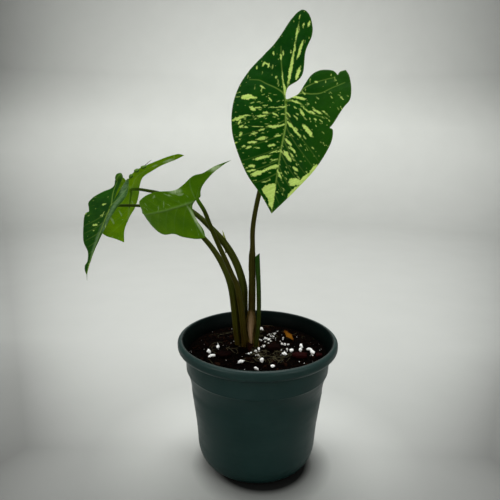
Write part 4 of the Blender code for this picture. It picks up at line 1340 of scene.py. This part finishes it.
def scatter(
    name, count, sizes, look, slot, divisions, seed, places=None, flat=0.75, sink=0.25, power=2.5
):
    """Many small rough grains on the potting mix, joined as one piece. Sizes in mm."""
    rng = np.random.default_rng(seed)
    unit, unit_faces = ball(divisions)
    points, faces, tones = [], [], []
    made = 0
    while made < count:
        if places is None:
            radius = SPREAD * rng.random() ** 0.5
            a = 2 * pi * rng.random()
            x, y = radius * cos(a), radius * sin(a)
        else:
            cx, cy, reach = places[rng.integers(len(places))]
            x, y = cx + reach * rng.normal(), cy + reach * rng.normal()
        size = sizes[0] + (sizes[1] - sizes[0]) * rng.random() ** power
        if np.hypot(x, y) > MIX_EDGE - size or not clear_of_stems(x, y, 0.4 * size):
            continue
        made += 1
        wide, high = 0.55 + 0.45 * rng.random(), flat * (0.6 + 0.4 * rng.random())
        scale = 0.5 * size * np.array([1, wide, high])
        tilt = tuple(rng.uniform(-0.5, 0.5, 2))
        turn = np.array(Euler(tilt + (rng.uniform(0, 6.28),)).to_matrix())
        rough = 1 + 0.42 * (rng.random(len(unit)) - 0.5)
        grain = (unit * rough[:, None] * scale) @ turn.T
        z = mix_height(x * MM, y * MM) / MM + 0.5 * size * flat * (1 - 2 * sink)
        faces.append(unit_faces + len(points) * len(unit))
        points.append((grain + (x, y, z)) * MM)
        tones.append(np.full(len(unit), rng.random() ** 2))
    points, faces = np.concatenate(points), np.concatenate(faces)
    thing = add_mesh(name, points, faces, [look], smooth=divisions > 1)
    attribute(thing, "tone", np.concatenate(tones))
    return place(thing, slot)


def make_fibres(name, count, seed, places, reach, length, radius, look, lift):
    """Fine roots and moss strands lying over the potting mix, joined as one piece. In mm."""
    rng = np.random.default_rng(seed)
    points, faces, tones = [], [], []
    ring, steps = 6, 14
    a = np.linspace(0, 2 * pi, ring, endpoint=False)
    for _ in range(count):
        cx, cy = places[rng.integers(len(places))]
        x, y = cx + reach * rng.normal(), cy + reach * rng.normal()
        heading = rng.uniform(0, 2 * pi)
        size = rng.uniform(*length)
        bend = rng.normal() * 0.28
        line = []
        tone = rng.random()
        for k in range(steps):
            arch = lift * rng.uniform(0.6, 1.2) * sin(pi * k / (steps - 1))
            line.append((x, y, mix_height(x * MM, y * MM) / MM + 0.25 + arch))
            heading += bend + 0.22 * rng.normal()
            x, y = x + size / steps * cos(heading), y + size / steps * sin(heading)
        line = np.array(line)
        if np.hypot(line[:, 0], line[:, 1]).max() > MIX_EDGE - 0.7:
            continue
        if not all(clear_of_stems(px, py, 0.4) for px, py, _ in line):
            continue
        ahead = np.gradient(line, axis=0)
        start = sum(len(p) for p in points)
        for k in range(steps):
            forward = ahead[k] / np.linalg.norm(ahead[k])
            side = np.cross(forward, (0, 0, 1))
            side /= max(np.linalg.norm(side), 1e-6)
            up = np.cross(side, forward)
            taper = 1 - 0.6 * abs(2 * k / (steps - 1) - 1) ** 3
            thick = rng.uniform(0.85, 1.15) * radius * taper
            around = np.outer(np.cos(a), side) + np.outer(np.sin(a), up)
            points.append((line[k] + thick * around) * MM)
            tones.append(np.full(ring, tone))
        faces += [turned_over(face) for face in tube_faces(steps, ring, start)]
    thing = add_mesh(name, np.concatenate(points), faces, [look])
    attribute(thing, "tone", np.concatenate(tones))
    return place(thing, "potting_mix")


# ---- grains and chips ------------------------------------------------------------------
PERLITE_PUFF = 1.22  # how far the knobs of a grain reach past its plain solid
LAYER = 0.45 * MM  # thickness of a layer of bark


def make_perlite(name, seed):
    """One grain of perlite: a puffed, knobbly, pitted white lump."""
    centre, size = node_centre(name)
    unit, faces = ball(5)
    rng = np.random.default_rng(seed)
    knobs = rng.normal(size=(6, 3))
    knobs /= np.linalg.norm(knobs, axis=1)[:, None]
    cuts = rng.normal(size=(7, 3))
    cuts /= np.linalg.norm(cuts, axis=1)[:, None]
    depths = rng.uniform(0.5, 0.85, 7)
    reach = 0.78 + 0.42 * np.max(np.exp(-((1 - unit @ knobs.T) * 5)), axis=1)
    flats = np.min(depths / np.clip(unit @ cuts.T, 1e-3, 1), axis=1)
    reach = np.minimum(reach, 0.25 * reach + 0.75 * flats)
    half = np.array(size) * 0.5 * PERLITE_PUFF
    spin = np.array(Euler((0.0, 0.0, rng.uniform(0, pi))).to_matrix())
    stretch = np.array((rng.uniform(1.1, 1.5), rng.uniform(0.65, 0.95), 1.0))
    points = (unit * reach[:, None] * half * stretch) @ spin.T + np.array(centre)
    relief = fractal(points, 0.9, 4, seed)
    pits = fractal(points, 0.35, 2, seed + 40)
    points = points + unit * (0.30 * relief - 0.14 * np.clip(pits, 0.15, 1))[:, None] * MM
    grain = add_mesh(name + "_detailed", points, faces, [PERLITE_LOOK])
    # Painted shade: greyer on the underside of the grain and in its pits.
    low = smoothstep(0.2, -0.9, unit[:, 2])
    attribute(grain, "tone", 0.6 * low + 0.35 * np.clip(pits, 0, 1))
    return place(grain, "perlite", name)


def make_chip(name, look, seed, slot):
    """A flat worn chip of bark, with split layers along its edge."""
    centre, size = node_centre(name)
    unit, faces = ball(5)
    rng = np.random.default_rng(seed)
    angle = np.arctan2(unit[:, 1], unit[:, 0])
    lobes = 1 + 0.10 * np.cos(3 * angle + rng.uniform(0, 6))
    lobes = lobes + 0.07 * np.cos(5 * angle + rng.uniform(0, 6))
    boxy = np.sign(unit) * np.abs(unit) ** (0.62, 0.62, 0.5)
    half = np.array(size) * 0.5
    points = boxy * half * 0.94
    points[:, :2] *= lobes[:, None] / 1.12
    relief = fractal(points * (1, 2.5, 6), 5, 4, seed)
    points[:, 2] = 0.5 * points[:, 2] + 0.5 * np.round(points[:, 2] / LAYER) * LAYER
    points = points + unit * (0.22 * relief)[:, None] * MM + np.array(centre)
    chip = add_mesh(name + "_detailed", points, faces, [look])
    attribute(chip, "tone", smoothstep(0.2, 0.9, relief) * 0.6)
    return place(chip, slot, name)


FLAKE_LEAN = 0.42  # the far end stands this much higher per mm of length


def make_flake():
    """A thin curled flake of dry leaf, torn along its edge."""
    low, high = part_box("dry_flake")
    centre = (low + high) / 2
    length, width = 10.4, 4.6
    rows, columns = 40, 20
    turn = radians(-52)
    points, tone = [], []
    for layer in (0.5, -0.5):
        for r in range(rows):
            u = 2 * r / (rows - 1) - 1
            torn = 1 + 0.16 * sin(7 * u + 1) + 0.09 * sin(17 * u)
            half = 0.5 * width * (1 - abs(u) ** 1.7) ** 0.8 * torn
            for c in range(columns):
                v = 2 * c / (columns - 1) - 1
                x, y = 0.5 * length * u, half * v
                z = 0.55 * v * v + 0.35 * u * u + 0.12 * sin(5 * u + 2 * v) + layer * 0.22
                lift = FLAKE_LEAN * (0.5 * length - x)
                points.append((
                    centre.x + (x * cos(turn) - y * sin(turn)) * MM,
                    centre.y + (x * sin(turn) + y * cos(turn)) * MM,
                    centre.z + (z - 0.1 + lift) * MM,
                ))
                tone.append(0.8 * abs(u) ** 3 + 0.4 * abs(v) ** 4)
    flake = close_sheet("dry_flake_detailed", points, rows, columns, FLAKE_LOOK)
    attribute(flake, "tone", np.clip(tone, 0, 1))
    return place(flake, "dry_flake", "dry_flake")


# ---- assembly --------------------------------------------------------------------------
make_pot()
make_mix()
for blade_name, blade_spec in BLADES.items():
    make_blade(blade_name, blade_spec)
for stem_name, stem_spec in PETIOLES.items():
    make_petiole(stem_name, stem_spec)
make_sheath()
for tongue, foot, tip, width, look, pale in (
    ("sheath_strip_dark", (-4.6, 1.4, 5), (-5.4, -8.5, 1.2), 4.0, STRIP_LOOK, 0.0),
    ("sheath_edge_left", (-8.4, 1.2, 0.2), (-6.6, 2.9, 28), 5.6, OLIVE_SHEATH_LOOK, 0.0),
    ("sheath_edge_right", (-1, 1.2, 0.2), (-2, 2.9, 24), 4.6, OLIVE_SHEATH_LOOK, 0.0),
    ("upper_sheath_tip", (-21.8, 12.6, 66.5), (-25.4, 14.4, 82), 3.0, STEM_GREEN, 1.0),
    ("tall_sheath_tip", (-5.7, 5.6, 56), (-6.5, 5.4, 69.2), 2.4, STEM_OLIVE, 0.2),
):
    slot = "petiole_skin" if tongue.endswith("tip") else "sheath_skin"
    make_tongue(tongue, foot, tip, width, look, pale, slot)
THREAD = ((-84.5, 40.6, 123.0), (-82.4, 41.0, 124.8), (-80.6, 41.4, 126.4), (-78.8, 41.8, 127.6))
make_thread("upper_leaf_thread", THREAD, 0.22)
for number in range(1, 15):
    make_perlite(f"perlite_{number:02d}", number)
for number, chip_look in enumerate((BARK_DARK_LOOK, BARK_LOOK, BARK_LOOK, BARK_DARK_LOOK), 1):
    make_chip(f"bark_chip_{number:02d}", chip_look, 50 + number, "bark")
make_flake()
scatter("mix_crumbs_small", 2600, (0.5, 1.6), CRUMB_LOOK, "potting_mix", 1, 61)
scatter("mix_crumbs_large", 260, (1.6, 4.2), CRUMB_LOOK, "potting_mix", 2, 62, flat=0.6, sink=0.35)
CLUSTERS = [  # x, y and spread in mm
    (-3.0, -8.0, 1.8), (-1.0, -5.0, 1.6), (0.0, -13.0, 1.6), (4.5, 3.0, 1.2), (5.0, 13.5, 2.4),
    (8.5, 18.0, 3.4), (11.0, 24.0, 3.0), (12.5, 14.0, 2.8), (19.0, 7.0, 1.4), (18.5, -10.0, 1.3),
    (20.5, -3.5, 1.2), (37.0, -9.0, 0.9),
]
scatter("perlite_crumbs", 92, (0.6, 2.1), PERLITE_LOOK, "perlite", 2, 63, CLUSTERS, 0.9, 0.1, 2.0)
scatter("perlite_dust", 110, (0.3, 0.9), PERLITE_LOOK, "perlite", 1, 64)
MOSS = [(4.0, -15.0), (13.0, -14.0), (1.0, -8.0), (17.0, -8.0)]
make_fibres("moss_strands", 90, 71, MOSS, 3.6, (3, 9), 0.14, FIBRE_LOOK, 0.8)
ROOTS = [(-22.0, 18.0), (25.0, 24.0), (0.0, 30.0), (-20.0, -10.0)]
make_fibres("fine_roots", 50, 72, ROOTS, 13.0, (6, 18), 0.11, FIBRE_LOOK, 0.7)


# ---- stage, light and camera -----------------------------------------------------------
CAMERA_BACK = 0.324  # m, from the pot's middle
FOOT_MIDDLE = (0.004, -0.009)  # the middle of the soft shadow round the pot's foot


def stage_material():
    """Pale paper with painted light: brightest behind the plant and falling off softly to the front
    and sides, with a painted shadow round the pot's foot.
    """
    made, n = new_material("studio_paper_painted_light", 0.1, 0.85)
    x, y, z = n.axes("Object")
    reach = n.length(x, y)
    # painted light falloff: darker towards the front, the sides and the top of the wall
    ahead = n.calc("MAXIMUM", y, n.span(reach, 0.2, 0.55, -0.07, 0.35))
    depth = n.plus(n.calc("ABSOLUTE", y), CAMERA_BACK)
    across = n.calc("DIVIDE", n.times(n.calc("ABSOLUTE", x), 2.0), depth)
    across = n.calc("MINIMUM", across, 1.05)
    far_wall = n.times(n.span(z, 0.0, 0.4, 0.0, 0.70), n.span(y, 0.5, 1.0))
    aside = n.times(n.span(reach, 0.33, 0.7), n.span(y, 0.1, 0.35, 0.85, 0.0))
    side_fall = n.calc("MAXIMUM", n.span(ahead, 0.02, 0.2, 0.58, 0.30), far_wall)
    side_fall = n.times(side_fall, n.minus(1.0, aside))
    bend = n.calc("MINIMUM", n.span(ahead, 0.02, 0.2, 2.0, 5.0), n.span(z, 0.0, 0.4, 5.0, 1.7))
    side = n.minus(1.0, n.times(side_fall, n.calc("POWER", across, bend)))
    level = n.plus(n.span(ahead, -0.07, 0.02, 0.26, 0.48), n.span(z, 0.0, 0.25, 0.0, 0.25))
    level = n.plus(level, n.span(ahead, 0.6, 1.2, 0.0, 0.03))
    level = n.minus(level, n.span(z, 0.42, 0.66, 0.0, 0.20))
    # painted shadow round the pot's foot, darkest at its edge
    nearby = n.length(n.minus(x, FOOT_MIDDLE[0]), n.minus(y, FOOT_MIDDLE[1]))
    painted_foot_shadow_edge = n.span(nearby, 0.0305, 0.036, 0.02, 0.50)
    painted_foot_shadow = n.plus(painted_foot_shadow_edge, n.span(nearby, 0.036, 0.050, 0.0, 0.50))
    value = n.times(n.times(level, side), painted_foot_shadow)
    # painted brightening near the pot, offsetting its real shadow
    value = n.times(value, n.span(reach, 0.05, 0.12, 1.28, 1.0))
    value = n.times(value, n.span(n.noise(n.coords(), 60, 5), 0.3, 0.7, 0.985, 1.015))
    shares = {0: n.times(value, 0.985), 1: value, 2: n.times(value, 0.965)}
    colour = n.add("ShaderNodeCombineColor", shares).outputs[0]
    return wired(made, Base_Color=colour, Normal=n.bumps((n.noise(n.coords(), 1.0, 3), 0.03)))


def make_stage():
    """A round floor that curves up into a wall all round, like a paper sweep."""
    reach, corner, wall = 1.35, 0.35, 1.1
    profile = [(r, 0.0) for r in np.linspace(0.03, reach - corner, 26)]
    for a in np.linspace(0.1, pi / 2, 14):
        profile.append((reach - corner + corner * sin(a), corner * (1 - cos(a))))
    profile += [(reach, z) for z in np.linspace(corner + 0.08, wall, 8)]
    steps, count = 144, len(profile)
    points, faces = lathe(profile, steps)
    faces = [turned_over(face) for face in faces]
    points.append((0.0, 0.0, 0.0))
    for k in range(steps):
        faces.append((len(points) - 1, k * count, ((k + 1) % steps) * count))
    floor = add_mesh("floor", points, faces, [stage_material()])


def make_light(name, place_at, aim, size, power, colour):
    data = bpy.data.lights.new(name, "AREA")
    data.shape = "DISK"
    data.size = size
    data.energy = power
    data.color = colour
    lamp = link(name, data)
    lamp.location = place_at
    lamp.rotation_mode = "QUATERNION"
    lamp.rotation_quaternion = (Vector(place_at) - Vector(aim)).to_track_quat("Z", "Y")


def make_camera():
    """The viewing angle: close, a little above the rim, looking slightly down, barely tilted."""
    data = bpy.data.cameras.new("camera")
    data.sensor_width = 36.0
    data.lens = 36.0
    data.clip_start, data.clip_end = 0.01, 20.0
    camera = link("camera", data)
    camera.location = (0.0, -CAMERA_BACK, 0.2278)
    pitch, roll, yaw = radians(13.06), radians(0.65), radians(-1.06)
    forward = Vector((sin(yaw) * cos(pitch), cos(yaw) * cos(pitch), -sin(pitch)))
    right = Vector((cos(yaw), -sin(yaw), 0))
    up = right.cross(forward)
    turned_right = right * cos(roll) + up * sin(roll)
    turned_up = up * cos(roll) - right * sin(roll)
    axes = Matrix((turned_right, turned_up, -forward)).transposed()
    camera.rotation_mode = "QUATERNION"
    camera.rotation_quaternion = axes.to_quaternion()
    bpy.context.scene.camera = camera


def make_world():
    """A pale sky, brighter above and behind the plant."""
    world = bpy.data.worlds.new("studio")
    bpy.context.scene.world = world
    world.use_nodes = True
    n = Nodes(world.node_tree)
    sky = n.tree.nodes["Background"]
    _, y, z = n.axes("Generated")
    strength = n.span(n.plus(y, n.times(z, 0.6)), -0.6, 0.9, 0.11, 0.86)
    sky.inputs["Color"].default_value = (0.96, 1.0, 0.98, 1)
    n.tree.links.new(strength, sky.inputs["Strength"])


make_stage()
make_world()
TARGET = (0.0, 0.0, 0.14)
make_light("overhead", (-0.10, 0.35, 1.25), TARGET, 1.0, 9.0, (1.0, 0.995, 0.98))
make_light("backdrop", (0.0, 0.45, 1.30), (0.0, 1.35, 0.22), 0.7, 5.6, (1.0, 1.0, 0.99))
make_light("fill_left", (-0.85, -0.70, 0.70), TARGET, 0.6, 4.4, (1.0, 0.99, 0.97))
make_light("fill_right", (0.85, -0.70, 0.75), TARGET, 0.6, 3.8, (0.98, 1.0, 0.99))
make_camera()
bpy.context.scene.view_settings.view_transform = "Standard"
